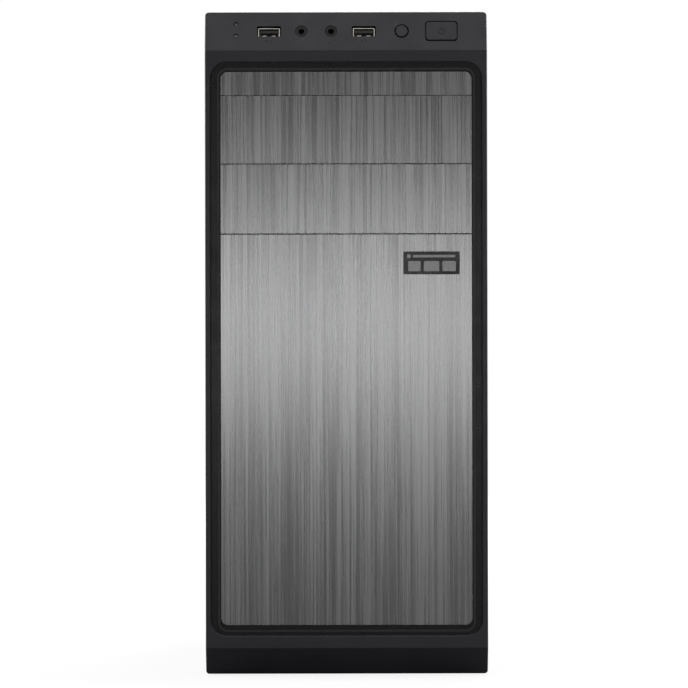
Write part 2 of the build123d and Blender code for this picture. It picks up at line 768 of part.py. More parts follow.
def make_side_panel(name, side):
    """A side panel that hangs on the chassis shelves by two long hooked rails."""
    inner = panel_outer - sheet
    rear = chassis_rear + sheet
    with BuildPart() as panel:
        block_across(side, (inner, panel_front, chassis_low + 0.6), (panel_outer, rear, chassis_high - 0.6))
        block_across(side, (thumbscrew_x - 6, chassis_rear, chassis_low + flange_clear),
                     (inner, rear, chassis_high - flange_clear))
        for low, high, lip_low, lip_high in hook_heights():
            block_across(side, (chassis_half - hook_reach, panel_front + 3, low),
                         (inner, inner_rear - 1, high))
            block_across(side, (chassis_half - hook_reach, panel_front + 3, lip_low),
                         (chassis_half - hook_reach + sheet, inner_rear - 1, lip_high))
        with BuildSketch(front_plane(chassis_rear - 1)) as holes:
            with Locations(*[(side * thumbscrew_x, row) for row in thumbscrew_rows]):
                Circle(2.4)
        extrude(holes.sketch, amount=-3, mode=Mode.SUBTRACT)
        if side < 0:
            with BuildSketch(Plane.YZ.offset(-panel_outer - 1)) as vents:
                with Locations((95, 240)):
                    with GridLocations(9, 19, 9, 4):
                        SlotOverall(14, 3.2, rotation=90)
                with Locations((95, 95)):
                    with GridLocations(9, 19, 9, 3):
                        SlotOverall(14, 3.2, rotation=90)
            extrude(vents.sketch, amount=3, mode=Mode.SUBTRACT)
        long_edges = panel.edges().filter_by(Axis.Z).group_by(Axis.X)[0 if side < 0 else -1]
        fillet(long_edges.sort_by(Axis.Y)[-1], 0.7)
    save(panel, name)


def hook_heights():
    """Heights of the panel's two rails: the leg's low and high, then the lip's."""
    top_leg = chassis_high - hook_low
    low_leg = chassis_low + hook_low
    return [
        (top_leg, top_leg + sheet, top_leg, top_leg + hook_height),
        (low_leg - sheet, low_leg, low_leg - hook_height, low_leg),
    ]


def make_thumbscrew(name, side, row):
    knurls = 24
    face = chassis_rear + sheet
    with BuildPart() as screw:
        with BuildSketch(front_plane(face)):
            with Locations((side * thumbscrew_x, row)):
                Circle(thumbscrew_radius)
                with PolarLocations(thumbscrew_radius + 0.25, knurls):
                    Circle(0.5, mode=Mode.SUBTRACT)
        extrude(amount=-thumbscrew_head)
        with BuildSketch(front_plane(face + thumbscrew_head)):
            with Locations((side * thumbscrew_x, row)):
                Rectangle(6.4, 1.1)
                Rectangle(1.1, 6.4)
        extrude(amount=2.0, mode=Mode.SUBTRACT)
        with BuildSketch(front_plane(face)):
            with Locations((side * thumbscrew_x, row)):
                Circle(thumbscrew_shank)
        extrude(amount=5.8)
    save(screw, name)


def make_slot_covers():
    with BuildPart() as covers:
        for number in range(slot_count):
            height = first_slot - number * slot_pitch
            block((slot_cover_left, inner_rear - sheet, height - 9.2),
                  (slot_cover_right, inner_rear, height + 9.2))
            with BuildSketch(front_plane(inner_rear - sheet - 1)) as rib:
                with Locations((6, height)):
                    SlotOverall(88, 4)
            extrude(rib.sketch, amount=-1)
        with BuildSketch(front_plane(inner_rear - sheet - 1)) as holes:
            with Locations(*slot_screw_places()):
                Circle(1.9)
        extrude(holes.sketch, amount=-3, mode=Mode.SUBTRACT)
    save(covers, "slot_covers")


def add_screw(start, axis, head_radius, head, shank_radius, shank):
    """A pan-head screw: the head points back along the axis, the shank forward."""
    back = tuple(-part for part in axis)
    rod(start, back, head, head_radius)
    rod(start, axis, shank, shank_radius)


def make_case_screws():
    with BuildPart() as screws:
        for x, z in supply_screw_places() + slot_screw_places():
            add_screw((x, chassis_rear, z), (0, -1, 0), 3.2, 2.0, 1.7, 2.4)
        for x in (-1, 1):
            for z in (-1, 1):
                place = (fan_x + x * fan_hole_pitch / 2, chassis_rear, fan_z + z * fan_hole_pitch / 2)
                add_screw(place, (0, -1, 0), 3.2, 2.0, 1.8, 6.0)
        for y, z in board_holes:
            add_screw((board_face, y, z), (1, 0, 0), 3.0, 2.0, 1.4, 5.0)
        for y, z in drive_screw_places():
            add_screw((drive_bay_left - sheet, y, z), (1, 0, 0), 3.0, 1.8, 1.7, 4.0)
            add_screw((drive_bay_right + sheet, y, z), (-1, 0, 0), 3.0, 1.8, 1.7, 4.0)
    save(screws, "case_screws")


# ---------------------------------------------------------------- the motherboard and what sits on it
def make_board_standoffs():
    with BuildPart() as standoffs:
        with BuildSketch(Plane.YZ.offset(board_face + board_thickness)):
            with Locations(*board_holes):
                RegularPolygon(standoff_radius, 6)
                Circle(1.5, mode=Mode.SUBTRACT)
        extrude(amount=tray_face - board_face - board_thickness)
    save(standoffs, "board_standoffs")


def make_motherboard():
    with BuildPart() as board:
        block((board_face, board_front, board_low), (board_face + board_thickness, board_rear, board_high))
        fillet(board.edges().filter_by(Axis.X), 2.0)
        with BuildSketch(Plane.YZ.offset(board_face - 1)) as holes:
            with Locations(*board_holes):
                Circle(1.9)
        extrude(holes.sketch, amount=4, mode=Mode.SUBTRACT)
    save(board, "motherboard")


def make_cpu_socket():
    """The socket frame with the processor's metal lid standing in it."""
    with BuildPart() as socket:
        with BuildSketch(Plane.YZ.offset(board_face - 4.0)):
            with Locations((cooler_y, cooler_z)):
                RectangleRounded(46, 46, 1.5)
        extrude(amount=4.0)
        with BuildSketch(Plane.YZ.offset(board_face - 5.5)):
            with Locations((cooler_y, cooler_z)):
                RectangleRounded(31, 31, 1.0)
        extrude(amount=1.5)
        rod((board_face - 4.6, cooler_y - 26, cooler_z - 20), (0, 0, 1), 44, 0.7)
        block((board_face - 4.6, cooler_y - 26, cooler_z - 1),
              (board_face - 2.4, cooler_y - 22.5, cooler_z + 1))
    save(socket, "cpu_socket")


def make_cpu_heatsink():
    fins = 36
    with BuildPart() as heatsink:
        with BuildSketch(Plane.YZ.offset(cooler_base)):
            with Locations((cooler_y, cooler_z)):
                Circle(15.0)
                with PolarLocations(28.5, fins):
                    Rectangle(30.0, 0.9)
        extrude(amount=-cooler_depth)
        with BuildSketch(Plane.YZ.offset(cooler_base)) as foot:
            with Locations((cooler_y, cooler_z)):
                Circle(cooler_radius)
                Circle(24.0, mode=Mode.SUBTRACT)
        extrude(foot.sketch, amount=-6.0, mode=Mode.SUBTRACT)
    save(heatsink, "cpu_heatsink")


def fan_shroud(centre, axis, outer, inner, length, hub, spokes, spoke_width=3.0, spoke_depth=2.5):
    """A round fan frame with its spokes and hub plate at the far end of the axis."""
    plane = Plane(origin=centre, z_dir=axis)
    with BuildSketch(plane) as tube:
        Circle(outer)
        Circle(inner, mode=Mode.SUBTRACT)
    extrude(tube.sketch, amount=length)
    with BuildSketch(plane.offset(length - spoke_depth)) as arms:
        Circle(hub)
        with PolarLocations((hub + inner) / 2, spokes):
            Rectangle(inner - hub + 1.5, spoke_width)
    extrude(arms.sketch, amount=spoke_depth)


def make_cpu_fan_frame():
    """The cooler's fan frame with four push pins that reach down to the board."""
    start = cooler_base - cooler_depth - cooler_fan_depth
    pin_circle, pin_start = 47.5, 14.0
    with BuildPart() as frame:
        fan_shroud((start, cooler_y, cooler_z), (1, 0, 0), cooler_radius, 42.5, cooler_fan_depth, 15.0, 4)
        for turn in range(4):
            angle = radians(45 + 90 * turn)
            y, z = cooler_y + pin_circle * cos(angle), cooler_z + pin_circle * sin(angle)
            rod((start + pin_start, y, z), (1, 0, 0), board_face - start - pin_start - 0.2, 3.2)
    save(frame, "cpu_fan_frame")


def make_memory_slots():
    with BuildPart() as slots:
        for depth in memory_rows:
            block((board_face - 8, depth - 3.3, 165), (board_face, depth + 3.3, 305))
            block((board_face - 9, depth - 0.75, 167.2),
                  (board_face - 1.5, depth + 0.75, 301.8), Mode.SUBTRACT)
            for low in (161.5, 302.0):
                block((board_face - 16, depth - 2.4, low), (board_face, depth + 2.4, low + 6.5))
                groove = (low + 5.7, low + 7) if low < 200 else (low - 0.5, low + 0.9)
                block((board_face - 17, depth - 0.75, groove[0]),
                      (board_face - 1.5, depth + 0.75, groove[1]),
                      Mode.SUBTRACT)
    save(slots, "memory_slots")


def make_memory_modules():
    with BuildPart() as modules:
        for depth in memory_rows:
            block((board_face - 33, depth - 0.6, 167.8), (board_face - 2.2, depth + 0.6, 301.2))
            for number in range(8):
                low = 172.5 + number * 15.9
                block((board_face - 28, depth - 1.6, low), (board_face - 18, depth + 1.6, low + 11.5))
    save(modules, "memory_modules")


def make_expansion_slots():
    with BuildPart() as slots:
        for height, rear, length in ((139.0, 124.0, 89.0), (118.7, 124.0, 25.0), (98.4, 124.0, 25.0)):
            block((board_face - 11, rear - length, height - 3.7), (board_face, rear, height + 3.7))
            block((board_face - 12, rear - length + 2, height - 0.9),
                  (board_face - 3, rear - 2, height + 0.9),
                  Mode.SUBTRACT)
        block((board_face - 11, 31.0, 136.5), (board_face - 4, 35.0, 141.5))
    save(slots, "expansion_slots")


def make_rear_io_ports():
    """The port blocks; a slim socket also gets its contact tongue."""
    socket_depth = 14.0
    with BuildPart() as ports:
        for low, high, height, sockets in rear_ports:
            block((board_face - height, port_front, low), (board_face, port_rear, high))
            for bottom, top, near, far in sockets:
                block((board_face - far, port_rear - socket_depth, bottom),
                      (board_face - near, port_rear + 1, top),
                      Mode.SUBTRACT)
                if far - near < 6:
                    middle = (near + far) / 2
                    block((board_face - middle - 0.9, port_rear - socket_depth - 0.5, bottom + 1.2),
                          (board_face - middle + 0.9, port_rear - 1.5, top - 1.2))
        block((board_face - 35, port_front, sound_socket_z - 6),
              (board_face, port_rear - 3, sound_socket_z + 6))
        for height in sound_sockets:
            rod((board_face - height, port_rear - 3, sound_socket_z), (0, 1, 0), 3.0, 4.2)
            rod((board_face - height, port_rear + 0.5, sound_socket_z), (0, -1, 0), 15.0, 1.9, Mode.SUBTRACT)
    save(ports, "rear_io_ports")


def make_rear_io_shield():
    clearance = 0.15
    with BuildPart() as shield:
        block((port_near, inner_rear, port_low), (port_far, chassis_rear - 0.3, port_high))
        for low, high, height, _ in rear_ports:
            block((board_face - height - clearance, inner_rear - 1, low - clearance),
                  (board_face + clearance, chassis_rear + 1, high + clearance), Mode.SUBTRACT)
        for height in sound_sockets:
            rod((board_face - height, inner_rear - 1, sound_socket_z), (0, 1, 0), 3.0, 4.4, Mode.SUBTRACT)
        with BuildSketch(front_plane(inner_rear - 1)) as vents:
            with Locations((33, 262), (33, 215)):
                with GridLocations(5, 5, 3, 6):
                    Circle(1.6)
        extrude(vents.sketch, amount=-3, mode=Mode.SUBTRACT)
    save(shield, "rear_io_shield")


def make_chipset_heatsink():
    with BuildPart() as heatsink:
        block((board_face - 4.5, 20, 108), (board_face, 50, 132))
        for number in range(8):
            low = 20 + number * 4.0
            block((board_face - 18, low, 108), (board_face - 4.5, low + 1.6, 132))
    save(heatsink, "chipset_heatsink")


def make_board_connectors():
    with BuildPart() as connectors:
        block((board_face - 12, main_socket_y - 4.6, main_socket_z - 26),
              (board_face, main_socket_y + 4.6, main_socket_z + 26))
        block((board_face - 12, cpu_socket_y - 5, cpu_socket_z - 4.8),
              (board_face, cpu_socket_y + 5, cpu_socket_z + 4.8))
        for number in range(4):
            height = data_socket_z + number * 11.0
            block((board_face - 9, data_socket_y - 3.2, height - 4),
                  (board_face, data_socket_y + 3.2, height + 4))
        block((board_face - 8.5, panel_header_y - 2.5, panel_header_z - 6.4),
              (board_face, panel_header_y + 2.5, panel_header_z + 6.4))
        block((board_face - 8.5, 60, 91), (board_face, 80, 95.5))
    save(connectors, "board_connectors")


def make_board_components():
    places = [(150, 150), (139, 150), (60, 300), (50, 300), (60, 196), (72, 196), (84, 196), (96, 196),
              (108, 196), (16, 165), (16, 178), (70, 110), (70, 125), (150, 108)]
    with BuildPart() as components:
        with BuildSketch(Plane.YZ.offset(board_face)):
            with Locations(*places):
                Circle(3.9)
        extrude(amount=-11.0)
        tops = components.faces().filter_by(Axis.X).group_by(Axis.X)[0]
        fillet([edge for top in tops for edge in top.edges()], 0.6)
        for number in range(5):
            block((board_face - 7, 143, 200 + number * 17), (board_face, 150, 209 + number * 17))
        rod((board_face, 92, 160), (-1, 0, 0), 2.2, 11.5)
        rod((board_face - 2.2, 92, 160), (-1, 0, 0), 3.2, 10.0)
    save(components, "board_components")


# ---------------------------------------------------------------- the power supply
def make_psu_case():
    front, rear = supply_front, inner_rear
    with BuildPart() as case:
        block((-supply_half, front, supply_low), (supply_half, rear, supply_low + sheet))
        block((-supply_half, front, supply_low + sheet), (supply_half, front + sheet, supply_high))
        block((-supply_half, rear - sheet, supply_low + sheet), (supply_half, rear, supply_high))
        with BuildSketch(Plane.XY.offset(supply_low - 1)) as intake:
            with Locations((0, supply_fan_y)):
                for radius, start in ((14, 45), (22, 5), (30, 45), (38, 5), (46, 45), (54, 5)):
                    curved_slots(radius, 5.6, start)
        extrude(intake.sketch, amount=3, mode=Mode.SUBTRACT)
        with BuildSketch(front_plane(rear + 1)) as holes:
            with Locations((inlet_x, inlet_z)):
                Rectangle(28.2, 20.2)
            with Locations((rocker_x, rocker_z)):
                Rectangle(13.2, 20.2)
            with Locations(*supply_screw_places()):
                Circle(1.9)
            with Locations((32, 359)):
                with GridLocations(7.5, 7.5, 9, 9):
                    RegularPolygon(3.3, 6)
            with Locations((-46, 338)):
                with GridLocations(7.5, 7.5, 5, 4):
                    RegularPolygon(3.3, 6)
        extrude(holes.sketch, amount=3, mode=Mode.SUBTRACT)
        with BuildSketch(front_plane(front - 1)) as exits:
            with Locations((-20, 345), (30, 330), (-50, 335)):
                Circle(6.5)
        extrude(exits.sketch, amount=-3, mode=Mode.SUBTRACT)
    save(case, "psu_case")


def make_psu_cover():
    front, rear = supply_front + sheet, inner_rear - sheet
    with BuildPart() as cover:
        block((-supply_half, front, supply_high - sheet), (supply_half, rear, supply_high))
        for side in (-1, 1):
            block_across(side, (supply_half - sheet, front, supply_low + sheet),
                         (supply_half, rear, supply_high - sheet))
    save(cover, "psu_cover")


def make_psu_circuit_board():
    """The supply's board hangs from the top: two finned coolers, a transformer, a choke and its cans."""
    with BuildPart() as board:
        block((-68, supply_front + 6, supply_board), (68, 152, supply_board + board_thickness))
        for low, high in (((-60, 60, 352), (-57, 130, supply_board)),
                          ((48, 60, 352), (51, 130, supply_board))):
            block(low, high)
            for number in range(6):
                step = 8 * number
                block((low[0] - 5, low[1] + 3 + step, 356),
                      (high[0] + 5, low[1] + 4.6 + step, supply_board))
        block((-20, 80, 362), (14, 112, supply_board))
        block((-36, 56, 372), (-10, 70, supply_board))
        with BuildSketch(Plane.XY.offset(supply_board)) as cans:
            with Locations((-32, 122), (-8, 128)):
                Circle(11)
        extrude(cans.sketch, amount=-40)
        with BuildSketch(Plane.XY.offset(supply_board)) as small_cans:
            with Locations((26, 60), (26, 74), (26, 88), (38, 66)):
                Circle(4.5)
        extrude(small_cans.sketch, amount=-20)
    save(board, "psu_circuit_board")


def make_psu_fan_frame():
    with BuildPart() as frame:
        fan_shroud((0, supply_fan_y, supply_low + sheet), (0, 0, 1),
                   supply_fan_radius + 2, supply_fan_radius,
                   25.0, 22.0, 4)
    save(frame, "psu_fan_frame")


def make_psu_inlet():
    """The mains inlet with its three blades, and the frame of the rocker switch beside it."""
    face = chassis_rear + 0.4
    with BuildPart() as inlet:
        block((inlet_x - 14, 154, inlet_z - 10), (inlet_x + 14, face, inlet_z + 10))
        with BuildSketch(front_plane(face)) as mouth:
            with Locations((inlet_x, inlet_z)):
                Rectangle(24.4, 16.6)
                chamfer(mouth.vertices().group_by(Axis.Z)[-1], 4.5)
        extrude(mouth.sketch, amount=17.0, mode=Mode.SUBTRACT)
        for offset_x, offset_z in ((-7, -1.5), (7, -1.5), (0, 2.5)):
            x, z = inlet_x + offset_x, inlet_z + offset_z
            block((x - 1, face - 17.5, z - 2), (x + 1, face - 2.5, z + 2))
        block((rocker_x - 6.5, 160, rocker_z - 10), (rocker_x + 6.5, face, rocker_z + 10))
        block((rocker_x - 5.1, 162, rocker_z - 8.4),
              (rocker_x + 5.1, face + 1, rocker_z + 8.4), Mode.SUBTRACT)
    save(inlet, "psu_inlet")


def make_psu_rocker():
    half = 4.7
    reach = 5.0
    with BuildPart() as rocker:
        with BuildSketch(Plane.YZ.offset(rocker_x - half)):
            with Locations((rocker_pivot_y, rocker_z)):
                Circle(rocker_radius)
            with BuildLine():
                rise = 12 * tan(radians(rocker_slope))
                outer, inner = rocker_pivot_y + reach, rocker_pivot_y - reach
                Polyline((inner, rocker_z - 12), (outer + rise, rocker_z - 12), (outer, rocker_z),
                         (outer + rise, rocker_z + 12), (inner, rocker_z + 12), close=True)
            make_face(mode=Mode.INTERSECT)
        extrude(amount=2 * half)
    with BuildPart() as tilted:
        add(rocker.part.rotate(Axis((0, rocker_pivot_y, rocker_z), (1, 0, 0)), -rocker_slope))
    save(tilted, "psu_rocker")


# ---------------------------------------------------------------- the rear fan and the hard drive
def make_rear_fan_frame():
    rear = inner_rear
    half = fan_size / 2
    flange = 4.0
    with BuildPart() as frame:
        with BuildSketch(front_plane(rear)):
            with Locations((fan_x, fan_z)):
                RectangleRounded(fan_size, fan_size, 4)
                Circle(38.0, mode=Mode.SUBTRACT)
                with GridLocations(fan_hole_pitch, fan_hole_pitch, 2, 2):
                    Circle(1.9, mode=Mode.SUBTRACT)
        extrude(amount=fan_depth)
        with BuildSketch(front_plane(rear - flange)) as waist:
            with Locations((fan_x, fan_z)):
                Rectangle(fan_size + 2, fan_size + 2)
                Circle(half - 0.4, mode=Mode.SUBTRACT)
        extrude(waist.sketch, amount=fan_depth - 2 * flange, mode=Mode.SUBTRACT)
        with BuildSketch(front_plane(rear)) as arms:
            with Locations((fan_x, fan_z)):
                Circle(15)
                with PolarLocations(26.5, 4, 45):
                    Rectangle(24.5, 4)
        extrude(arms.sketch, amount=2.5)
    save(frame, "rear_fan_frame")


def make_hard_drive():
    left, right = drive_bay_left, drive_bay_right
    rear = cage_back
    front = rear - drive_length
    with BuildPart() as drive:
        block((left, front, drive_low + 3), (right, rear, drive_low + drive_height - 1.5))
        fillet(drive.edges().filter_by(Axis.Z), 3.0)
        block((left + 4, front + 2, drive_low), (right - 4, rear - 2, drive_low + 3))
        with BuildSketch(Plane.YZ.offset(left - 1)) as holes:
            with Locations(*drive_screw_places()):
                Circle(1.85)
        extrude(holes.sketch, amount=7, mode=Mode.SUBTRACT)
        with BuildSketch(Plane.YZ.offset(right + 1)) as other_holes:
            with Locations(*drive_screw_places()):
                Circle(1.85)
        extrude(other_holes.sketch, amount=-7, mode=Mode.SUBTRACT)
        block((power_plug_x - 11, rear - 8, 211), (power_plug_x + 11, rear + 1, 215.5))
        block((data_plug_x - 6, rear - 8, 211), (data_plug_x + 6, rear + 1, 215.5))
    save(drive, "hard_drive")


def make_hard_drive_lid():
    left, right = drive_bay_left, drive_bay_right
    rear = cage_back
    front = rear - drive_length
    seat = drive_low + drive_height - 1.5
    with BuildPart() as lid:
        with BuildSketch(Plane.XY.offset(seat)):
            with Locations(((left + right) / 2, (front + rear) / 2)):
                RectangleRounded(right - left - 5, drive_length - 5, 4)
        extrude(amount=1.0)
        with BuildSketch(Plane.XY.offset(seat + 1.0)):
            with Locations(((left + right) / 2, rear - 58)):
                Circle(40)
        extrude(amount=0.5)
        with BuildSketch(Plane.XY.offset(seat + 1.0)) as screws:
            for x in (left + 8, right - 8):
                with Locations((x, front + 9), (x, rear - 9)):
                    Circle(2.4)
        extrude(screws.sketch, amount=0.8)
    save(lid, "hard_drive_lid")


# ---------------------------------------------------------------- tied leads
main_lead_route = [
    (-20, 37.0, 345), (-20, 19, 344), (-18, 5, 322), (-12, 2, 292),
    (4, 0, 268), (26, -3.6, 262), (39.9, -3.6, 262),
]
cpu_lead_route = [
    (30, 37.0, 330), (30, 27, 328), (33, 22, 312), (38, 44, 307.5), (42, 74, 308.5), (43, 100, 307.5),
    (43.9, 114, 307), (43.9, 123.6, 307),
]
drive_power_route = [
    (-50, 37.0, 335), (-50, 22, 333), (-52, 10, 306), (-50, 6, 268),
    (-40, 12, 236), (-24, 14, 216), (-14, 6, 213.2), (-14, 1, 213.2),
]
drive_data_route = [
    (11, 1, 213.2), (11, 12, 213.2), (14, 20, 196), (20, 17, 174),
    (27, 4, 155), (37, -2.5, 150), (47.9, -2.5, 150),
]
panel_lead_route = [
    (64, -167.4, 388.9), (64, -160.4, 386.5), (72, -149, 380), (79.4, -141, 350), (79.6, -128, 300),
    (79.6, -112, 250), (79.6, -90, 200), (79.6, -62, 155), (77, -40, 122), (63, -27, 104), (48.9, -17, 100),
    (48.9, -5, 100),
]


def make_lead_plugs():
    """The plugs at the ends of the leads."""
    with BuildPart() as plugs:
        block((39.9, main_socket_y - 4.4, main_socket_z - 25.6),
              (board_face - 12, main_socket_y + 4.4, main_socket_z + 25.6))
        block((39.9, cpu_socket_y - 4.4, cpu_socket_z - 4.4),
              (board_face - 12, cpu_socket_y + 4.4, cpu_socket_z + 4.4))
        block((power_plug_x - 11, cage_back + 1, drive_plug_low), (power_plug_x + 11, 1, drive_plug_high))
        block((data_plug_x - 6, cage_back + 1, drive_plug_low), (data_plug_x + 6, 1, drive_plug_high))
        block((board_face - 13.5, panel_header_y - 2.5, panel_header_z - 6.4),
              (board_face - 8.5, panel_header_y + 2.5, panel_header_z + 6.4))
        block((47.9, data_socket_y - 3, data_socket_z - 3.8),
              (board_face - 9, data_socket_y + 3, data_socket_z + 3.8))
    save(plugs, "lead_plugs")


def tie_around(low, high, share, radius):
    """A cable tie: a band square to the lead with its small lock."""
    start, end = Vector(*low), Vector(*high)
    along = (end - start).normalized()
    plane = Plane(origin=start + (end - start) * share, z_dir=along)
    with BuildSketch(plane) as band:
        Circle(radius + 1.2)
        Circle(radius + 0.05, mode=Mode.SUBTRACT)
    extrude(band.sketch, amount=2.5)
    with BuildSketch(plane.offset(-0.6)) as lock:
        with Locations((radius + 2.6, 0)):
            Rectangle(3.2, 3.6)
    extrude(lock.sketch, amount=3.7)


def make_cable_ties():
    with BuildPart() as ties:
        tie_around(main_lead_route[2], main_lead_route[3], 0.45, 4.5)
        tie_around(drive_power_route[2], drive_power_route[3], 0.35, 2.5)
        tie_around(panel_lead_route[4], panel_lead_route[5], 0.45, 2.2)
        tie_around(panel_lead_route[6], panel_lead_route[7], 0.45, 2.2)
    save(ties, "cable_ties")


# ---------------------------------------------------------------- build every piece
make_front_bezel()
make_top_filler_strip()
make_lower_front_panel()
make_bay_cover("upper_bay_cover", bay_joint, filler_joint)
make_bay_cover("lower_bay_cover", panel_joint, bay_joint)
make_badge_plate()
make_front_io_board()
make_front_usb_ports()
make_front_audio_jacks()
make_front_leds()
make_power_button_cap()
make_reset_button_cap()

make_chassis_front_plate()
make_horizontal_plate("chassis_top_plate", chassis_high)
make_horizontal_plate("chassis_bottom_plate", chassis_low, upside_down=True)
make_chassis_rear_plate()
make_motherboard_tray()
make_optical_drive_cage()
make_hard_drive_cage()
make_feet()
make_side_panel("left_side_panel", -1)
make_side_panel("right_side_panel", 1)
for screw_side, side_name in ((-1, "left"), (1, "right")):
    for screw_row, row_name in zip(thumbscrew_rows, ("lower", "upper")):
        make_thumbscrew(f"{side_name}_{row_name}_thumbscrew", screw_side, screw_row)
make_slot_covers()
make_case_screws()

make_board_standoffs()
make_motherboard()
make_cpu_socket()
make_cpu_heatsink()
make_cpu_fan_frame()
make_rotor("cpu_fan_rotor", (board_face - 44.5, cooler_y, cooler_z), (1, 0, 0), 15.0, 41.5, 13.0, 7)
make_memory_slots()
make_memory_modules()
make_expansion_slots()
make_rear_io_ports()
make_rear_io_shield()
make_chipset_heatsink()
make_board_connectors()
make_board_components()

make_psu_case()
make_psu_cover()
make_psu_circuit_board()
make_psu_fan_frame()
make_rotor("psu_fan_rotor", (0, supply_fan_y, supply_low + 11.5), (0, 0, 1), 20.0, 56.5, 18.0, 9)
make_psu_inlet()
make_psu_rocker()

make_rear_fan_frame()
make_rotor("rear_fan_rotor", (fan_x, inner_rear - 14.0, fan_z), (0, 1, 0), 15.0, 36.8, 19.0, 7)
make_hard_drive()
make_hard_drive_lid()

make_lead("main_power_lead", main_lead_route, 9.0)
make_lead("cpu_power_lead", cpu_lead_route, 5.0)
make_lead("drive_power_lead", drive_power_route, 5.0)
make_lead("drive_data_lead", drive_data_route, 4.0)
make_lead("front_panel_lead", panel_lead_route, 4.4)
make_lead_plugs()
make_cable_ties()
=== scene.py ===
"""Looks for a desktop computer tower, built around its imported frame. Metres, +Z up, front faces -Y."""
import math

import bmesh
import bpy
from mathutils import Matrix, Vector


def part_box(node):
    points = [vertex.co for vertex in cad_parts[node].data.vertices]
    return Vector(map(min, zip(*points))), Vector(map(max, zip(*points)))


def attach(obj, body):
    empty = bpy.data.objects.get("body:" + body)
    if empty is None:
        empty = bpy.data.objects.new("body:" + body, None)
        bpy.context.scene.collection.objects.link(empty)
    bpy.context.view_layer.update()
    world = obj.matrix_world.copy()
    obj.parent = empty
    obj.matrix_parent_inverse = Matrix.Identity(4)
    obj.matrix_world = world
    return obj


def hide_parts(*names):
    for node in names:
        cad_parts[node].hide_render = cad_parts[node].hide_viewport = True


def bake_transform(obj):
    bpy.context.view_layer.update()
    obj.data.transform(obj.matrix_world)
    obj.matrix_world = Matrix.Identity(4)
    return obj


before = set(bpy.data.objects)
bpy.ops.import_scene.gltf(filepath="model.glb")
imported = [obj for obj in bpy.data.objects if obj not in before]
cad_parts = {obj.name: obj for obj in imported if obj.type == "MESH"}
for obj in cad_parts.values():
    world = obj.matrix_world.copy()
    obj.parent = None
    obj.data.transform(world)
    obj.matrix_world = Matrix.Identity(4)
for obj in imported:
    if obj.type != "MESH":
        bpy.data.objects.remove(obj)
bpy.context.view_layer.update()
scene = bpy.context.scene

MM = 0.001


# ---------------------------------------------------------------- places taken from the frame
bezel_low, bezel_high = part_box("front_bezel")
badge_low, badge_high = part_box("badge_plate")
face_y = bezel_low.y

# The groove around the insert has its own finish, smoother and darkened by painted shade, out to
# just past its outer wall and from this far behind the bezel's face, which leaves the top of the rim inside
# the groove matt.
GROOVE_HALF_WIDTH = 83.3 * MM
GROOVE_LOW, GROOVE_HIGH = 24.9 * MM, 376.7 * MM
GROOVE_START = 1.8 * MM

STRIP_LEAN = 8 * MM          # the control strip leans back this far ...
STRIP_RISE = 24.1 * MM       # ... over this height, below the top of the bezel
strip_tilt = math.atan2(STRIP_LEAN, STRIP_RISE)
strip_origin = Vector((0, face_y, bezel_high.z - STRIP_RISE))
strip_up = Vector((0, math.sin(strip_tilt), math.cos(strip_tilt)))
strip_out = Vector((0, -math.cos(strip_tilt), math.sin(strip_tilt)))
CONTROL_ROW = 12.7 * MM      # middle of the buttons and jacks, up the strip
USB_ROW = CONTROL_ROW - 0.3 * MM
USB_COLUMNS = (-47.2 * MM, 11.0 * MM)
JACK_COLUMNS = (-27.3 * MM, -9.1 * MM)
LED_COLUMN = -67.4 * MM
POWER_COLUMN = 58.6 * MM
CAP_PROUD = 0.3 * MM         # the power button's cap stands this far out of the strip
ICON_DROP = 6.3 * MM         # the ports' symbols sit this far below their row
LED_ROWS = (9.6 * MM, 17.3 * MM)


def on_strip(column, row, lift=0.0):
    """A point given across, up and out of the control strip."""
    return strip_origin + Vector((column, 0, 0)) + strip_up * row + strip_out * lift


